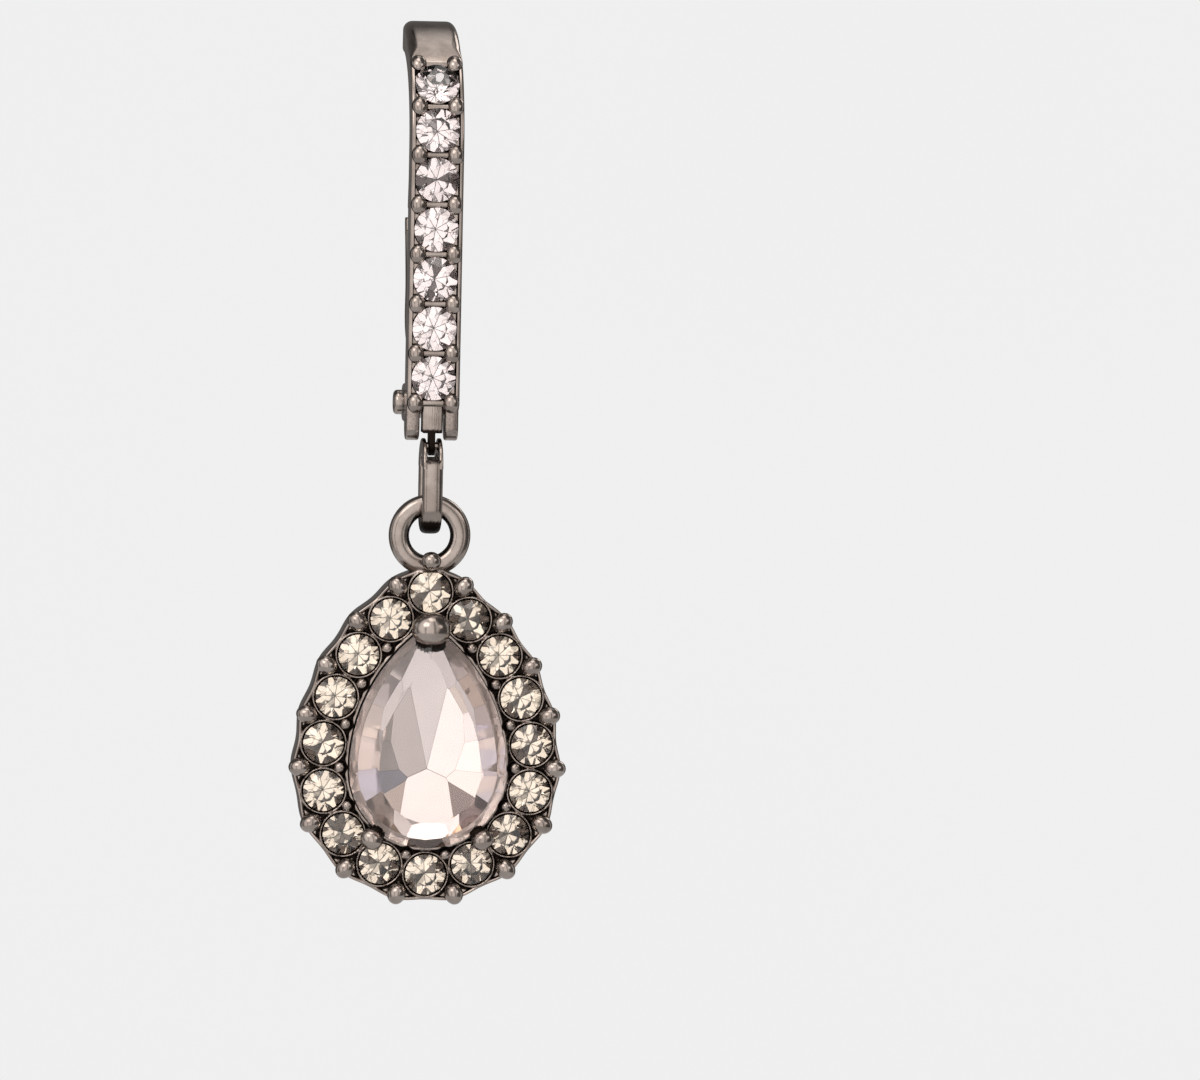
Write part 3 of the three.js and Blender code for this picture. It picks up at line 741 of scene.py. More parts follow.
pearCut = {
    "block": 9,
    "sides": 44,
    "crownMains": 12,
    "starLean": math.radians(70),
    "edgeSteep": math.radians(7),
    "culet": -1.12,
    "outerSteep": math.radians(43),
    "outerInset": 0.75,
    "outerLow": 0.88,
    "outerWarm": (1, 0.97, 0.94),
    "outerSeatReflection": (0.28, 0.22, 0.19),
    "innerSteep": math.radians(15),
    "innerInset": 0.8,
    # The four facets that meet at the culet: direction anticlockwise from the tip, slope and tint, the
    # tint painting how light or dark its reflection looks
    "culetFacets": [
        (0, 0.1, (1.0, 0.98, 0.98)),
        (62, 0.15, (0.96, 0.93, 0.93)),
        (180, 0.22, (0.9, 0.87, 0.87)),
        (-62, 0.15, (0.92, 0.9, 0.9)),
    ],
    # The ring outside them, from the tip anticlockwise: tints that paint each facet's reflection lighter,
    # darker or coloured
    "innerFacets": [
        (0.93, 0.92, 0.92), (0.96, 0.94, 0.95), (0.9, 0.88, 0.9), (0.98, 0.94, 0.9), (0.95, 0.93, 0.92),
        (0.7, 0.74, 0.88), (0.3, 0.27, 0.25), (0.5, 0.4, 0.3), (0.85, 0.62, 0.42), (0.12, 0.1, 0.1),
        (0.92, 0.9, 0.88), (1.0, 1.0, 1.0), (0.9, 0.88, 0.9), (0.97, 0.89, 0.82), (0.9, 0.88, 0.88),
    ],
}


# The pear cut: a table and crown facets that lean in from the outline's own directions; behind, a
# steep ring at the edge, a flatter ring inside it and four shallow facets that meet at the culet
def pearPlanes(rng):
    front, back = pear["front"], pear["front"] - pear["girdle"]
    table = front + pear["crown"]
    planes = [((0, 0, 1), (0, 0, table), (1, 1, 1))]

    def edges(inset, count, start):
        shares = (np.arange(count) + start) / count
        return [tuple(float(value) for value in row) for row in zip(*pearOutline(-inset, shares))]

    for x, y, outX, outY in edges(0, pearCut["sides"], 0.5):
        planes.append(facetPlane(x, y, 0, outX, outY, 0))
    rise = math.pi / 2 - math.atan(pear["crown"] / pear["tableInset"])
    mains = pearCut["crownMains"]
    for x, y, outX, outY in edges(0, mains, 0):
        planes.append(facetPlane(x, y, front, outX, outY, rise))
    for start in (0.25, 0.75):
        for x, y, outX, outY in edges(0, mains, start):
            planes.append(facetPlane(x, y, front, outX, outY, rise - pearCut["edgeSteep"]))
    for x, y, outX, outY in edges(pear["tableInset"], mains, 0.5):
        planes.append(facetPlane(x, y, table, outX, outY, pearCut["starLean"]))

    ring = len(pearCut["innerFacets"])
    for number, (x, y, outX, outY) in enumerate(edges(0, 2 * ring, 0.5)):
        shade = rng.uniform(pearCut["outerLow"], 1)
        tint = [shade * part for part in pearCut["outerWarm"]]
        # The pair at the bottom is painted dark, a painted reflection of the dark seat
        if number in (ring - 1, ring):
            tint = pearCut["outerSeatReflection"]
        planes.append(facetPlane(x, y, back, outX, outY, pearCut["outerSteep"] - math.pi / 2, tint))
    low = back - pearCut["outerInset"] * math.tan(pearCut["outerSteep"])
    for (x, y, outX, outY), tint in zip(edges(pearCut["innerInset"], ring, 0), pearCut["innerFacets"]):
        planes.append(facetPlane(x, y, low, outX, outY, pearCut["innerSteep"] - math.pi / 2, tint))
    for direction, slope, tint in pearCut["culetFacets"]:
        angle = math.radians(direction)
        rise = math.atan(slope) - math.pi / 2
        planes.append(facetPlane(0, 0, pearCut["culet"], -math.sin(angle), math.cos(angle), rise, tint))
    return planes


addStone(
    "pear_stone", cutStone(pearPlanes(rng), pearCut["block"]), 1,
    np.array([0, pear["faceY"], pear["centreZ"]]), haloAxes, 0, blushLooks, "pendant")
print("stones cut")


# The bar: a rounded-box section carried up the front and round the arch, whose front face sinks into
# a channel and a seat under each stone, and rises to a low saddle between stones
barCasting = {
    "rim": 0.17,
    "channel": 0.22,
    "channelWall": 0.07,
    "channelTop": (0.05, -0.1),
    "seat": 0.97,
    "seatWall": 0.08,
    "seatDepth": 0.2,
    "seatSlope": 0.95,
    "saddle": 0.17,
    "saddleClear": 0.04,
    "saddleSunk": 0.03,
    "edge": 0.1,
    "shoulderEdge": 0.42,
    "shoulderFrom": 0.2,
    "shoulderFull": 1.2,
    "backEdge": 0.3,
    "shoulderRound": 0.3,
    "endRound": 0.12,
    "sinkShadeFrom": 0.1,
    "sinkShadeFull": 0.5,
    "rowStep": 0.05,
    "columns": 64,
}


# A ring of (x, depth) points: across the front, round a quarter circle at each corner and back
def barSection(edge):
    front = np.linspace(-1, 1, barCasting["columns"])
    quarter = np.linspace(0, math.pi / 2, 7)[1:-1]
    level = np.linspace(-1, 1, 12)
    edge, backEdge = edge[:, None], barCasting["backEdge"]
    half, thick = bar["half"], bar["thick"]
    middle = (edge + thick - backEdge) / 2
    reach = (thick - backEdge - edge) / 2
    x = [
        front * (half - edge),
        half - edge + edge * np.sin(quarter),
        half + 0 * level,
        half - backEdge + backEdge * np.cos(quarter),
        -level * (half - backEdge),
        -half + backEdge - backEdge * np.sin(quarter),
        -half + 0 * level,
        -half + edge - edge * np.cos(quarter),
    ]
    depth = [
        0 * front,
        edge - edge * np.cos(quarter),
        middle + reach * level,
        thick - backEdge + backEdge * np.sin(quarter),
        thick + 0 * level,
        thick - backEdge + backEdge * np.cos(quarter),
        middle - reach * level,
        edge - edge * np.sin(quarter),
    ]
    return sideBySide(len(edge), x), sideBySide(len(edge), depth)


def barPatch():
    length = bar["straight"] + bar["radius"] * math.pi / 2
    along = np.linspace(0, length, int(length / barCasting["rowStep"]))
    last = beadRows[-1]
    shoulder = smoothStep(last + barCasting["shoulderFrom"], last + barCasting["shoulderFull"], along)
    growth = barCasting["shoulderEdge"] - barCasting["edge"]
    x, depth = barSection(barCasting["edge"] + growth * shoulder)
    columns = barCasting["columns"]
    s = along[:, None]
    front = x[:, :columns]
    inner = bar["half"] - barCasting["rim"]
    above, below = barCasting["channelTop"]
    channel = smoothStep(inner, inner - barCasting["channelWall"], np.abs(front))
    low = barCasting["channel"] * (channel * smoothStep(last + above, last + below, s))
    stone = np.min(np.hypot(s[:, :, None] - stoneRows, front[:, :, None]), 2)
    edge = barCasting["seat"]
    seat = smoothStep(edge, edge - barCasting["seatWall"], stone)
    low = low + seat * (barCasting["seatDepth"] + barCasting["seatSlope"] * (edge - stone))
    row = np.min(np.abs(s[:, :, None] - beadRows), 2)
    radius = barCasting["saddle"]
    ridge = radius - np.sqrt(np.maximum(0, radius ** 2 - row ** 2))
    onSaddle = (row < radius) & (stone > edge - barCasting["saddleClear"]) & (s < last + radius)
    low = np.where(onSaddle, np.minimum(low, ridge + barCasting["saddleSunk"]), low)
    depth[:, :columns] += low
    # Both ends close in by a quarter circle
    middle = bar["thick"] / 2
    for far, reach in ((length - s, barCasting["shoulderRound"]), (s, barCasting["endRound"])):
        close = np.clip(1 - far / reach, 0, 1)
        inset = reach * (1 - np.sqrt(1 - close ** 2))
        x = x * (1 - inset / bar["half"])
        depth = middle + (depth - middle) * (1 - inset / middle)
    patch = gridPatch(onBar(s, x, depth), caps=True)
    # Painted shade darkens the front where it sinks into the channel and the seats
    recess = np.zeros(depth.shape)
    recess[:, :columns] = smoothStep(barCasting["sinkShadeFrom"], barCasting["sinkShadeFull"], low)
    patch["recess"][:recess.size] = recess.ravel()
    return patch


# An oval ball: latitude rings of a sphere stretched along three axes. It is darkened with painted shade
# towards its foot, below a height that is given as a share of its radius
def ballPatch(centre, axes, radii, foot=0.45, rings=16, turns=24):
    level = np.linspace(0, math.pi, rings)[1:-1, None]
    turn = roundAngles(turns)
    unit = stacked(np.sin(level) * np.cos(turn), np.sin(level) * np.sin(turn), np.cos(level))
    patch = gridPatch((unit * radii) @ axes + centre, caps=True)
    patch["verts"][-2] = np.array([0, 0, radii[2]]) @ axes + centre
    patch["verts"][-1] = np.array([0, 0, -radii[2]]) @ axes + centre
    heights = np.r_[np.repeat(unit[:, 0, 2], turns), 1, -1]
    patch["recess"] = smoothStep(foot, foot - 0.5, heights)
    return patch


addMetal("barCasting", [barPatch()], "ear_bar", crease=50)

beads = {
    "inset": 0.375,
    "across": 0.37,
    "along": 0.45,
    "proud": 0.34,
    "centre": 0.07,
    "lean": 12,
}


# Beads raised in pairs beside each gap, longer along the bar and leaning in over the stones
def barBeads():
    patches = []
    radii = np.array([beads["across"], beads["along"], beads["proud"]])
    for row in beadRows:
        side, up, front = barAxes(row)
        for hand in (-1, 1):
            lean = math.radians(beads["lean"]) * hand
            across = side * math.cos(lean) + front * math.sin(lean)
            out = front * math.cos(lean) - side * math.sin(lean)
            centre = onBar(row, hand * (bar["half"] - beads["inset"]), beads["centre"])
            # Each bead takes painted shade towards its foot
            patches.append(ballPatch(centre, np.array([across, up, out]), radii))
    return patches


addMetal("barBeads", barBeads(), "ear_bar")
print("bar made")


# A flat plate from a side outline of (y, z) points: the outline moves in round a small quarter circle
# at both faces, so that its edges are rounded
def platePatch(outline, low, high, edge, steps=5):
    ahead = np.roll(outline, -1, 0) - np.roll(outline, 1, 0)
    normal = np.stack([ahead[:, 1], -ahead[:, 0]], -1)
    normal /= np.linalg.norm(normal, axis=1)[:, None]
    centre = outline.mean(0)
    if np.sum(normal * (outline - centre)) < 0:
        normal = -normal
    angle = np.linspace(0, math.pi / 2, steps)
    inset = np.r_[edge * (1 - np.sin(angle)), edge * (1 - np.sin(angle[::-1]))]
    x = np.r_[low + edge * (1 - np.cos(angle)), high - edge * (1 - np.cos(angle[::-1]))]
    flat = outline[None] - normal[None] * inset[:, None, None]
    points = np.concatenate([np.broadcast_to(x[:, None, None], flat.shape[:2] + (1,)), flat], -1)
    return gridPatch(points, caps=True)


# Points along a chain of straight and curved stretches, at even steps
def evenPath(points, count, closed=True):
    points = np.asarray(points, float)
    if closed:
        points = np.vstack([points, points[:1]])
    far = np.r_[0, np.cumsum(np.linalg.norm(np.diff(points, axis=0), axis=1))]
    at = np.linspace(0, far[-1], count, endpoint=not closed)
    return np.stack([np.interp(at, far, points[:, k]) for k in range(points.shape[1])], -1)


# Points on an arc in a plane, between two angles in degrees
def arc(centreA, centreB, radius, start, end, count=14):
    angle = np.radians(np.linspace(start, end, count))
    return np.stack([centreA + radius * np.cos(angle), centreB + radius * np.sin(angle)], -1)


hinge = {
    "earThick": 0.6,
    "earInset": 0.012,
    "earFront": -5.95,
    "earDepth": 1.2,
    "earEnd": -17.6,
    "earEdge": 0.09,
    "earShade": 0.3,
    "bossRadius": 0.85,
    "rivetY": -3.9,
    "rivetZ": -16.0,
    "tongueHalf": 0.45,
    "tongueFront": -6.02,
    "tongueDepth": 0.85,
    "tongueEnd": -17.25,
    "tongueEdge": 0.07,
    "tongueInBar": 0.3,
    "pinY": -5.595,
    "pinZ": -17.85,
    "pinRadius": 0.18,
    "pinHalf": 0.35,
    "eyeRadius": 0.42,
    "eyeHalf": 0.14,
    "eyeEdge": 0.04,
    "eyeInTongue": 0.2,
    "eyeShade": 0.8,
    "eyeShadeHigh": 0.35,
}


# Two ears down from the bar, each with a boss behind round the rivet
def hingeEars():
    front, back = hinge["earFront"], hinge["earFront"] + hinge["earDepth"]
    foot = hinge["earDepth"] / 2
    boss = hinge["bossRadius"]
    outline = evenPath(np.vstack([
        [[front, hinge["rivetZ"] + boss]],
        arc((front + back) / 2, hinge["earEnd"] + foot, foot, 180, 360),
        [[back, hinge["rivetZ"] - boss]],
        arc(hinge["rivetY"], hinge["rivetZ"], boss, -90, 90, 24),
    ]), 90)
    half, thick = bar["half"] - hinge["earInset"], hinge["earThick"]
    patches = [platePatch(outline, low, low + thick, hinge["earEdge"]) for low in (-half, half - thick)]
    # Painted shade darkens both ears all over
    for patch in patches:
        patch["recess"] += hinge["earShade"]
    return patches


# The brushed tongue between the ears, darkened at its end by painted shade, and its thin eye, dark all
# over with painted shade
def tongueAndEye():
    front, end = hinge["tongueFront"], hinge["tongueEnd"]
    back, top = front + hinge["tongueDepth"], bar["endZ"] + hinge["tongueInBar"]
    block = evenPath([[front, top], [front, end], [back, end], [back, top]], 60)
    pinY, radius, eyeTop = hinge["pinY"], hinge["eyeRadius"], end + hinge["eyeInTongue"]
    loop = evenPath(np.vstack([
        arc(pinY, hinge["pinZ"], radius, 180, 360, 24),
        [[pinY + radius, eyeTop], [pinY - radius, eyeTop]],
    ]), 60)
    tongue = platePatch(block, -hinge["tongueHalf"], hinge["tongueHalf"], hinge["tongueEdge"])
    eye = platePatch(loop, -hinge["eyeHalf"], hinge["eyeHalf"], hinge["eyeEdge"])
    heights = tongue["verts"][:, 2]
    tongue["recess"] = smoothStep(end + hinge["eyeShadeHigh"], end, heights) * hinge["eyeShade"]
    eye["recess"] += hinge["eyeShade"]
    return [tongue, eye]


addMetal("hingeEars", hingeEars(), "ear_bar", crease=40)
addMetal("linkTongue", tongueAndEye(), "ear_bar", crease=40, finish=brushed)


# A solid turned about an axis: (radius, height) points swept round, closed at both ends
def turnedPatch(profile, axes, origin, turns=40):
    profile = np.asarray(profile, float)
    turn = roundAngles(turns)
    radius, height = profile[:, 0, None], profile[:, 1, None]
    points = stacked(radius * np.cos(turn), radius * np.sin(turn), height)
    return gridPatch(points @ axes + origin, caps=True)


# A turned solid's ends stop this far from its axis, where the caps close them
nearAxis = 0.02


# A plain round post between two heights on its axis
def postPatch(radius, low, high, axes, origin, turns=40):
    profile = [[nearAxis, low], [radius, low], [radius, high], [nearAxis, high]]
    return turnedPatch(profile, axes, origin, turns)


rivet = {
    "radius": 0.3,
    "proud": 0.04,
    "head": 0.55,
    "headHigh": 0.36,
    # The hollow's depths as shares of the head's height; its radius and the lip as shares of the
    # head's radius
    "hollowMiddle": 0.45,
    "hollowEdge": 0.5,
    "hollow": 0.38,
    "lipCentre": 0.68,
    "lip": 0.32,
    "tail": 0.42,
    "tailHigh": 0.14,
    "tailRound": 0.1,
    "tailStep": 0.04,
}


# The rivet lies across the bar: a ring-like head with a hollow middle at -X and a low tail at +X
def rivetProfile():
    out = bar["half"] + rivet["proud"]
    head, high = rivet["head"], rivet["headHigh"]
    lip = head * rivet["lip"]
    return evenPath(np.vstack([
        [nearAxis, -out - high * rivet["hollowMiddle"]],
        [head * rivet["hollow"], -out - high * rivet["hollowEdge"]],
        arc(head * rivet["lipCentre"], -out - high + lip, lip, 210, 360, 12),
        [[head, -out], [rivet["radius"], -out], [rivet["radius"], out], [rivet["tail"], out]],
        arc(rivet["tail"] - rivet["tailRound"], out + rivet["tailStep"], rivet["tailRound"], 0, 90, 6),
        [nearAxis, out + rivet["tailHigh"]],
    ]), 120, closed=False)


sideAxes = np.array([[0, 1, 0], [0, 0, 1], [1, 0, 0]])
rivetPatch = turnedPatch(rivetProfile(), sideAxes, np.array([0, hinge["rivetY"], hinge["rivetZ"]]))
addMetal("hingeRivet", [rivetPatch], "hinge_rivet", crease=35)


# A bar carried along a flat path: at each place the section's ring is turned to the path's own
# direction. The path runs in the (y, z) plane and the section holds (sideways x, outwards) points
def sweptPatch(path, sections):
    ahead = np.gradient(path, axis=0)
    ahead /= np.linalg.norm(ahead, axis=1)[:, None]
    outY, outZ = ahead[:, 1], -ahead[:, 0]
    side, out = sections[..., 0], sections[..., 1]
    y = path[:, 0, None] + outY[:, None] * out
    z = path[:, 1, None] + outZ[:, None] * out
    return gridPatch(stacked(side, y, z), caps=True)


# A rounded box as a ring of points: a power curve between an ellipse (2) and a box (large)
def softBox(halfSide, halfOut, power, count):
    turn = roundAngles(count)
    c, s = np.cos(turn), np.sin(turn)
    side = np.sign(c) * np.abs(c) ** (2 / power)
    out = np.sign(s) * np.abs(s) ** (2 / power)
    return np.stack([np.multiply.outer(halfSide, side), np.multiply.outer(halfOut, out)], -1)


# The share of its thickness that a bar keeps near its rounded end, by the length left to the end
def roundEnd(left, radius, least):
    return np.sqrt(np.clip(1 - (1 - np.clip(left / radius, 0, 1)) ** 2, least, 1))


lever = {
    # From the knuckle to the end: shares of the way back and of the way up, half the thickness as a
    # share of the full one, and half the width
    "rows": [
        (0, 0, 0.5, 0.475),
        (0.3, 0.13, 0.5, 0.5),
        (0.58, 0.37, 0.6, 0.69),
        (0.81, 0.66, 0.48, 0.56),
        (1, 1, 0.4, 0.5),
    ],
    "endY": 3.78,
    "endZ": -8.0,
    "thick": 0.75,
    "boxiness": 3.2,
    "knuckle": 0.7,
    "knuckleHalf": 0.475,
    "knuckleEdge": 0.1,
    "notchHalf": 0.29,
    "notchLong": 0.5,
    "prongRoot": 0.3,
    "prongThin": 0.96,
    "endRound": 0.25,
    "endLeast": 0.02,
}


# A smooth curve through a few rows of numbers, by the cubic that passes through each with the mean
# slope of its neighbours
def throughRows(rows, count):
    rows = np.asarray(rows, float)
    slope = np.gradient(rows, axis=0)
    at = np.linspace(0, len(rows) - 1, count)
    i = np.minimum(at.astype(int), len(rows) - 2)
    t = (at - i)[:, None]
    return (
        rows[i] * (2 * t ** 3 - 3 * t ** 2 + 1)
        + slope[i] * (t ** 3 - 2 * t ** 2 + t)
        + rows[i + 1] * (3 * t ** 2 - 2 * t ** 3)
        + slope[i + 1] * (t ** 3 - t ** 2)
    )


# The lever: a soft bar bowed back from the knuckle and widest at its bend. Its end is a fork, whose
# two blunt prongs stand one each side of the wire's tip
def leverPatches():
    rows = throughRows(lever["rows"], 150)
    y = hinge["rivetY"] + rows[:, 0] * (lever["endY"] - hinge["rivetY"])
    z = hinge["rivetZ"] + rows[:, 1] * (lever["endZ"] - hinge["rivetZ"])
    path = np.stack([y, z], -1)
    step = np.linalg.norm(np.diff(path, axis=0), axis=1)
    left = np.r_[np.cumsum(step[::-1])[::-1], 0]
    halfWide, halfThick = rows[:, 3], rows[:, 2] * lever["thick"]
    arm = left > lever["notchLong"]
    patches = [sweptPatch(path[arm], softBox(halfWide[arm], halfThick[arm], lever["boxiness"], 56))]
    fork = left < lever["notchLong"] + lever["prongRoot"]
    blunt = roundEnd(left, lever["endRound"], lever["endLeast"])
    halfProng = (halfWide[fork] - lever["notchHalf"]) / 2
    for hand in (-1, 1):
        ring = softBox(halfProng, lever["prongThin"] * (halfThick * blunt)[fork], lever["boxiness"], 32)
        ring[..., 0] += hand * (lever["notchHalf"] + halfProng)[:, None]
        patches.append(sweptPatch(path[fork], ring))
    knuckle = arc(hinge["rivetY"], hinge["rivetZ"], lever["knuckle"], 0, 360, 49)[:-1]
    half = lever["knuckleHalf"]
    patches.append(platePatch(knuckle, -half, half, lever["knuckleEdge"]))
    return patches


addMetal("leverArm", leverPatches(), "lever", crease=40)

wire = {
    "radius": 0.4,
    "tipRadius": 0.25,
    "tipLength": 0.9,
    "taper": 0.35,
    "tipLeast": 0.01,
    "points": [(-1.1, 0.4), (1.3975, 0.4), (3.0125, -2.918), (3.65, -7.5)],
}


# The ear wire: a round bar on a cubic curve between four points, narrowed to a round tip
def wirePatch():
    t = np.linspace(0, 1, 90)[:, None]
    a, b, c, d = np.array(wire["points"])
    curve = (1 - t) ** 3 * a + 3 * (1 - t) ** 2 * t * b + 3 * (1 - t) * t ** 2 * c + t ** 3 * d
    onward = (d - c) / np.linalg.norm(d - c)
    ahead = np.linspace(0, wire["tipLength"], 30)[1:]
    path = np.vstack([curve, d + onward * ahead[:, None]])
    narrow = smoothStep(0, wire["tipLength"] * wire["taper"], ahead)
    radius = wire["radius"] + (wire["tipRadius"] - wire["radius"]) * narrow
    radius *= roundEnd(wire["tipLength"] - ahead, wire["tipRadius"], wire["tipLeast"])
    radius = np.r_[np.full(len(curve), wire["radius"]), radius]
    return sweptPatch(path, softBox(radius, radius, 2, 32))


addMetal("earWire", [wirePatch()], "ear_bar", crease=50)

link = {
    "half": 0.45,
    "halfStrap": 0.35,
    "softness": 3.4,
    "depth": 1.3,
    "topZ": -17.49,
    "endZ": -21.75,
    "slotHalf": 0.25,
    "slotEnd": -18.42,
    "legOverlap": 0.02,
    "cheekOverlap": 0.25,
    "cheekSoftness": 5,
    "cheekShade": 0.3,
    "forkShade": 0.6,
    "forkShadeHigh": 0.35,
    "footShadeFrom": 0.85,
    "footShadeFull": 0.35,
}


# The link's strap follows a long round-ended loop seen from the side. Its top is split into two
# cheeks by a slot, and a pin between them hangs from the eye
def linkPatches():
    pinY, reach = hinge["pinY"], link["depth"] - link["halfStrap"]

    # Half the loop: from one leg round a bend to the other, cut level where the slot ends
    def halfLoop(cutZ, bendZ, bendTo, count):
        bend = arc(pinY, bendZ, reach, 180, bendTo, 40)
        ends = [[pinY + hand * reach, cutZ] for hand in (-1, 1)]
        return evenPath(np.vstack([ends[0], bend, ends[1]]), count, closed=False)

    def strap(path, half, softness, count):
        rows = np.ones(len(path))
        return softBox(rows * half, rows * link["halfStrap"], softness, count)

    low = halfLoop(link["slotEnd"] + link["legOverlap"], link["endZ"] + link["depth"], 360, 120)
    high = halfLoop(link["slotEnd"] - link["cheekOverlap"], link["topZ"] - link["depth"], 0, 90)
    body = sweptPatch(low, strap(low, link["half"], link["softness"], 48))
    # Painted shade darkens the strap where it bears on the ring, and below the fork
    heights = body["verts"][:, 2]
    foot = smoothStep(link["endZ"] + link["footShadeFrom"], link["endZ"] + link["footShadeFull"], heights)
    fork = smoothStep(link["slotEnd"] - link["forkShadeHigh"], link["slotEnd"], heights)
    body["recess"] = np.maximum(foot, fork * link["forkShade"])
    patches = [body]
    cheek = (link["half"] - link["slotHalf"]) / 2
    rings = strap(high, cheek, link["cheekSoftness"], 32)
    for hand in (-1, 1):
        side = sweptPatch(high, rings + [hand * (link["half"] - cheek), 0])
        # Painted shade darkens both cheeks
        side["recess"] += link["cheekShade"]
        patches.append(side)
    pinHalf, pinPlace = hinge["pinHalf"], np.array([0, pinY, hinge["pinZ"]])
    patches.append(postPatch(hinge["pinRadius"], -pinHalf, pinHalf, sideAxes, pinPlace))
    return patches


addMetal("dropLink", linkPatches(), "drop_link", crease=40)

bail = {
    "hole": 0.925,
    "half": 0.45,
    "power": 2.6,
    "centreZ": -21.825,
    "insideShadeFrom": 0.55,
    "insideShadeFull": 0.95,
}


# The bail ring: a soft square section carried round a circle, rough on its inside and darkened there by
# painted shade
def bailPatch():
    turn = roundAngles(110)[:, None]
    half = bail["half"]
    section = softBox(half, half, bail["power"], 48)
    out = bail["hole"] + half + section[:, 0]
    points = stacked(out * np.cos(turn), section[:, 1], out * np.sin(turn))
    patch = gridPatch(points + [0, hinge["pinY"], bail["centreZ"]], wrapRows=True)
    inside = smoothStep(-half * bail["insideShadeFrom"], -half * bail["insideShadeFull"], section[:, 0])
    patch["recess"] = np.tile(inside, len(turn))
    return patch


addMetal("bailRing", [bailPatch()], "pendant_setting")
print("hinge, link and ring made")


halo = {
    "around": 960,
    "across": 72,
    "inner": -1.17,
    "outer": 1.2,
    "scallop": 0.07,
    "depth": 1.7,
    "base": 0.9,
    "baseInset": 0.25,
    "frontRound": 0.06,
    "edgeRound": 0.1,
    "baseRound": 0.08,
    "backRound": 0.12,
    "recess": 0.22,
    "rim": 0.13,
    "rimHigh": 0.75,
    "outerRimIn": 0.05,
    "innerRimOut": 0.03,
    "cup": 0.93,
    "cupWall": 0.15,
    "cupEdge": (0.02, -0.05),
    "cupDepth": 0.25,
    "cupSlope": 0.95,
    # Behind: the flat of the back, the window in it, the shelf round the pear's well and the well
    "flatInset": 0.2,
    "window": -2.7,
    "windowRound": 0.1,
    "windowDeep": 1.6,
    "shelfLift": 1.62,
    "shelfFrom": 0.05,
    "shelfTo": 0.55,
    "wellFrom": 0.35,
    "wellLow": -1.0,
    "wellTop": 0.05,
    # Where painted shade darkens the plate: in the cups, in a groove round each cup's wall, and below the
    # face
    "cupShade": (0.05, -0.02),
    "grooveOut": 0.06,
    "grooveShade": (0.1, 0.02),
    "belowFaceShade": (-0.02, -0.12),
}


# A wall's height across it: 1 along its middle, round down to 0 at half its width
def wallAt(off, half):
    return np.sqrt(np.clip(1 - (off / half) ** 2, 0, 1))


# The halo casting: at each share of the way round, a ring of (out, lift) points runs over the front,
# down the scalloped edge, round the base tier and up inside behind the pear. The front sinks between
# thin walls: one round each stone, one round the pear and one along the outer edge
def haloPatch():
    share = (np.arange(halo["around"]) + 0.5) / halo["around"]
    wave = -np.cos(fullTurn * share * pear["stones"])
    edge = (halo["outer"] + halo["scallop"] * wave)[:, None]
    s = share[:, None]
    inner, cup, halfWall = halo["inner"], halo["cup"], halo["cupWall"] / 2
    faceRound, edgeRound = halo["frontRound"], halo["edgeRound"]
    baseRound, backRound = halo["baseRound"], halo["backRound"]
    out = inner + (edge - faceRound - inner) * np.linspace(0, 1, halo["across"])
    place = onHaloRing(s, out, 0)[..., [0, 2]]
    stones = onHalo(haloShares, 0, 0)[:, [0, 2]]
    near = np.min(np.linalg.norm(place[:, :, None] - stones, axis=3), 2)

    def aboutCup(limits):
        return smoothStep(cup + limits[0], cup + limits[1], near)

    cupWall = wallAt(near - cup - halfWall, halfWall)
    outerRim = wallAt(edge - out - halo["outerRimIn"], halo["rim"])
    innerRim = wallAt(out - inner - halo["innerRimOut"], halo["rim"])
    crest = np.maximum(cupWall, np.maximum(outerRim, innerRim) * halo["rimHigh"])
    front = -halo["recess"] * (1 - crest)
    bowl = -aboutCup(halo["cupEdge"]) * (halo["cupDepth"] + (cup - near) * halo["cupSlope"])
    front = np.where(near < cup + halfWall, np.minimum(front, bowl), front)

    corner = np.linspace(0, math.pi / 2, 4)[1:]
    rise, turn = np.sin(corner), 1 - np.cos(corner)
    down = np.linspace(0, 1, 3)[1:]
    baseEdge, window = halo["outer"] - halo["baseInset"], halo["window"]
    low = -halo["depth"]
    back = low - halo["base"]
    last = front[:, -1:]
    outs = [
        out,
        edge - faceRound + faceRound * rise,
        edge + 0 * down,
        edge - edgeRound * rise,
        baseEdge + baseRound - baseRound * rise,
        baseEdge + 0 * down,
        baseEdge - backRound * turn,
        np.linspace(baseEdge - halo["flatInset"], window + halo["windowRound"], 4),
        window + 0 * down,
        np.linspace(window + halo["shelfFrom"], inner - halo["shelfTo"], 3),
        np.linspace(inner - halo["wellFrom"], inner, 3),
    ]
    lifts = [
        front,
        last - faceRound * turn,
        last - faceRound + (edgeRound + low + faceRound - last) * down,
        low + edgeRound - edgeRound * turn,
        low - baseRound * turn,
        low - baseRound - (halo["base"] - baseRound - backRound) * down,
        back + backRound - backRound * rise,
        back + np.zeros(4),
        back + halo["windowDeep"] * down,
        back + halo["shelfLift"] + np.zeros(3),
        np.linspace(halo["wellLow"], front[0, 0] - halo["wellTop"], 3),
    ]
    rows = len(share)
    patch = gridPatch(onHaloRing(s, sideBySide(rows, outs), sideBySide(rows, lifts)), wrapRows=True)
    groove = smoothStep(*halo["grooveShade"], np.abs(near - cup - halo["cupWall"] - halo["grooveOut"]))
    haloShade = np.maximum(aboutCup(halo["cupShade"]), groove * (1 - outerRim))
    recess = patch["recess"].reshape(rows, -1)
    recess[:, :halo["across"]] = haloShade * smoothStep(*halo["belowFaceShade"], front)
    # The shelf and the well, the last two stretches, are painted black as shade behind the pear
    recess[:, -6:] = 1
    return patch


addMetal("haloCasting", [haloPatch()], "pendant_setting", crease=55)

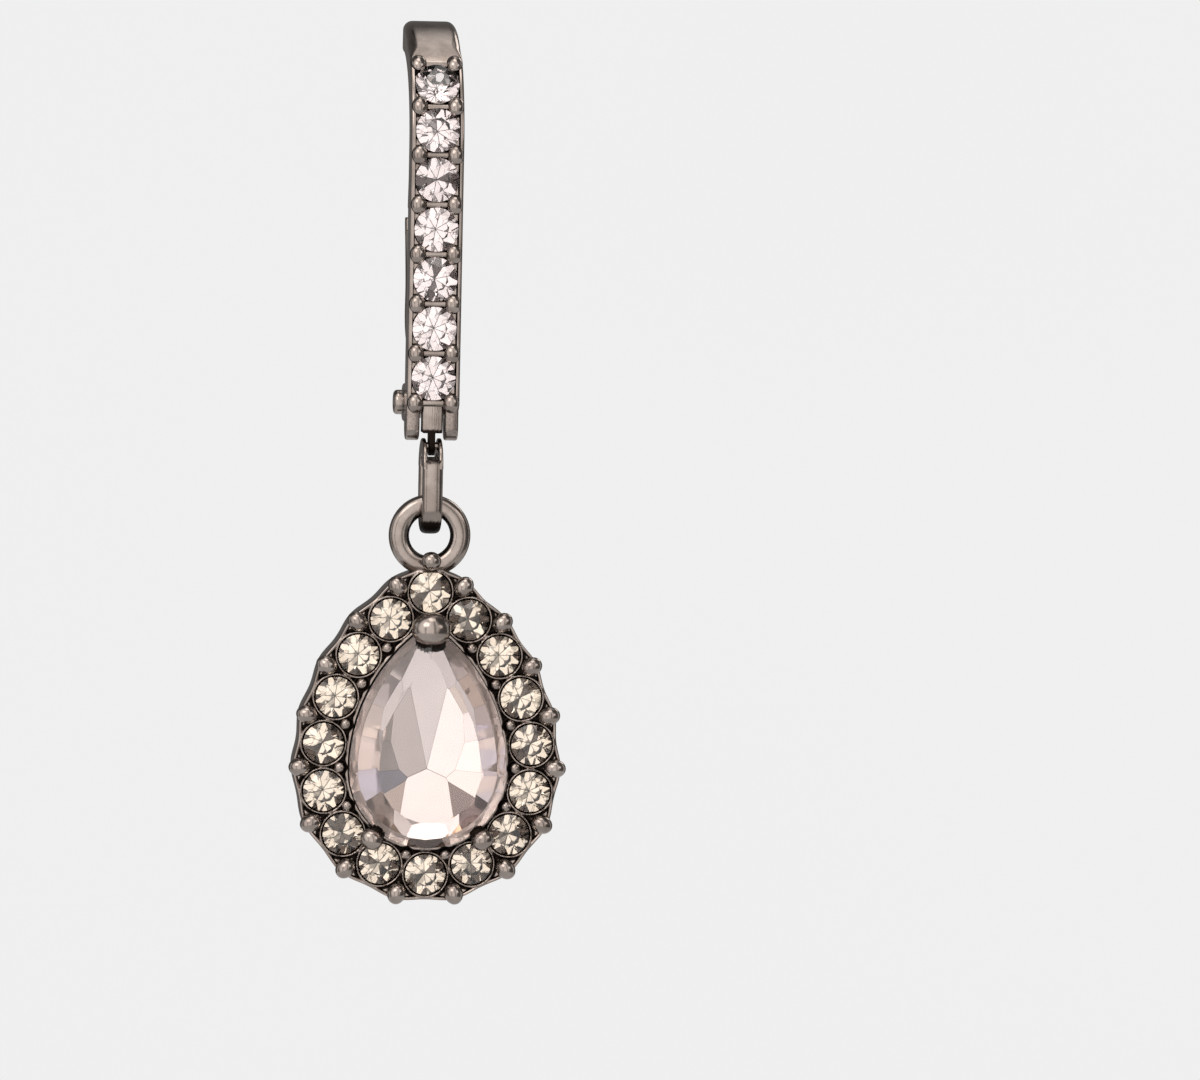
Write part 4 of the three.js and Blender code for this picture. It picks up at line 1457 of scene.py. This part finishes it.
haloBeads = {
    "outerOut": 0.99,
    "outer": 0.43,
    "outerFlat": 0.96,
    "outerLong": 0.49,
    "outerLift": 0.08,
    "outerFoot": -0.1,
    "crestOut": 1.38,
    "crest": (0.44, 0.42, 0.44),
    "crestFoot": -0.3,
    "crestPost": 0.32,
    "crestLow": -1.0,
    "innerIn": 0.8,
    "inner": 0.25,
    "innerLift": -0.06,
    "clawGap": 6,
    # The ring round each inner bead: its radius, and its round top's; its foot, low and floor
    "moat": 0.34,
    "moatTop": 0.035,
    "moatFoot": 0.04,
    "moatLow": -0.3,
    "moatFloor": -0.06,
    "moatShade": 0.75,
}


# The halo's own axes at a share: along the outline, outwards in the halo's plane, and to the front
def haloAxesAt(share):
    outX, outY = (float(value) for value in pearOutline(pear["row"], share)[2:])
    out = np.array([outX, 0, outY])
    return np.array([np.cross(out, [0, -1, 0]), out, [0, -1, 0]])


# Beads on the outer edge at every gap, one at the crest on a post before the bail ring, and small
# ones inside, each in its own ring, but for the gaps where the claws stand
def haloBeadPatches():
    patches = []
    size = haloBeads["outer"]
    radii = np.array([size * haloBeads["outerFlat"], haloBeads["outerLong"], size])
    for share in gapShares:
        centre = onHalo(share, haloBeads["outerOut"], haloBeads["outerLift"])
        patches.append(ballPatch(centre, haloAxesAt(share), radii, haloBeads["outerFoot"]))
    crest, axes = onHalo(0.0, haloBeads["crestOut"], haloBeads["outerLift"]), haloAxesAt(0.0)
    patches.append(ballPatch(crest, axes, np.array(haloBeads["crest"]), haloBeads["crestFoot"]))
    patches.append(postPatch(haloBeads["crestPost"], haloBeads["crestLow"], 0, axes, crest, 24))
    moat = haloBeads["moat"]
    profile = np.vstack([
        [nearAxis, haloBeads["moatLow"]],
        [moat + haloBeads["moatFoot"], haloBeads["moatLow"]],
        arc(moat, 0, haloBeads["moatTop"], 0, 180, 5),
        [nearAxis, haloBeads["moatFloor"]],
    ])
    for i, share in enumerate(gapShares):
        if min(i, pear["stones"] - 1 - i) in (0, haloBeads["clawGap"]):
            continue
        centre, axes = onHalo(share, -haloBeads["innerIn"], haloBeads["innerLift"]), haloAxesAt(share)
        patches.append(ballPatch(centre, axes, np.full(3, haloBeads["inner"]), 0.0))
        ring = turnedPatch(profile, axes, centre, 24)
        # Painted shade darkens the ring round each inner bead
        ring["recess"] += haloBeads["moatShade"]
        patches.append(ring)
    return patches


addMetal("haloBeads", haloBeadPatches(), "pendant_setting")

claws = {
    "topHead": 6.32,
    "topRadius": 0.85,
    "topLift": 0.7,
    "sideRadius": 0.51,
    "sideLift": 0.6,
    "sideIn": 0.77,
    # As shares of the claw's radius: the head, the dark skirt of painted shadow and its place, the post
    # and its place
    "head": np.array([1.04, 0.9, 0.92]),
    "headFoot": -0.2,
    "shadowSkirt": np.array([0.78, 0.62, 0.6]),
    "shadowSkirtIn": 0.66,
    "shadowSkirtLow": 0.2,
    "post": 0.3,
    "postOut": 0.25,
    "postLow": 0.6,
    "raggedness": 0.07,
    "raggednessWaves": (31, 23, 37, 17),
}


# Three claws lap the pear: a large domed one at its tip and a small one each side of the bottom. Each
# is a flattened ball on a round post, with painted shade towards its foot and a dark ragged skirt under
# it, a painted shadow where it meets the glass
def clawPatches():
    patches = []
    tip = np.array([0, pear["faceY"] - claws["topLift"], pear["centreZ"] + claws["topHead"]])
    places = [(tip, claws["topRadius"], haloAxesAt(0.0), claws["topLift"])]
    for gap in (haloBeads["clawGap"], pear["stones"] - 1 - haloBeads["clawGap"]):
        place = onHalo(gapShares[gap], -claws["sideIn"], claws["sideLift"])
        places.append((place, claws["sideRadius"], haloAxesAt(gapShares[gap]), claws["sideLift"]))
    a, b, c, d = claws["raggednessWaves"]
    for place, radius, axes, lift in places:
        patches.append(ballPatch(place, axes, claws["head"] * radius, claws["headFoot"], 24, 40))
        centre = place - axes[1] * radius * claws["shadowSkirtIn"] - axes[2] * radius * claws["shadowSkirtLow"]
        # A foot above the top leaves the whole skirt dark, as painted shadow
        shadowSkirt = ballPatch(centre, axes, claws["shadowSkirt"] * radius, 2, 24, 48)
        spot = shadowSkirt["verts"] - place
        x, y, z = spot.T
        raggedness = np.sin(x * a + z * b) * np.sin(z * c + y * d)
        shadowSkirt["verts"] = place + spot * (1 + claws["raggedness"] * raggedness)[:, None]
        patches.append(shadowSkirt)
        origin = place + axes[1] * radius * claws["postOut"]
        patches.append(postPatch(radius * claws["post"], -lift - claws["postLow"], 0, axes, origin, 20))
    return patches


addMetal("pearClaws", clawPatches(), "pendant_setting")
print("halo made")
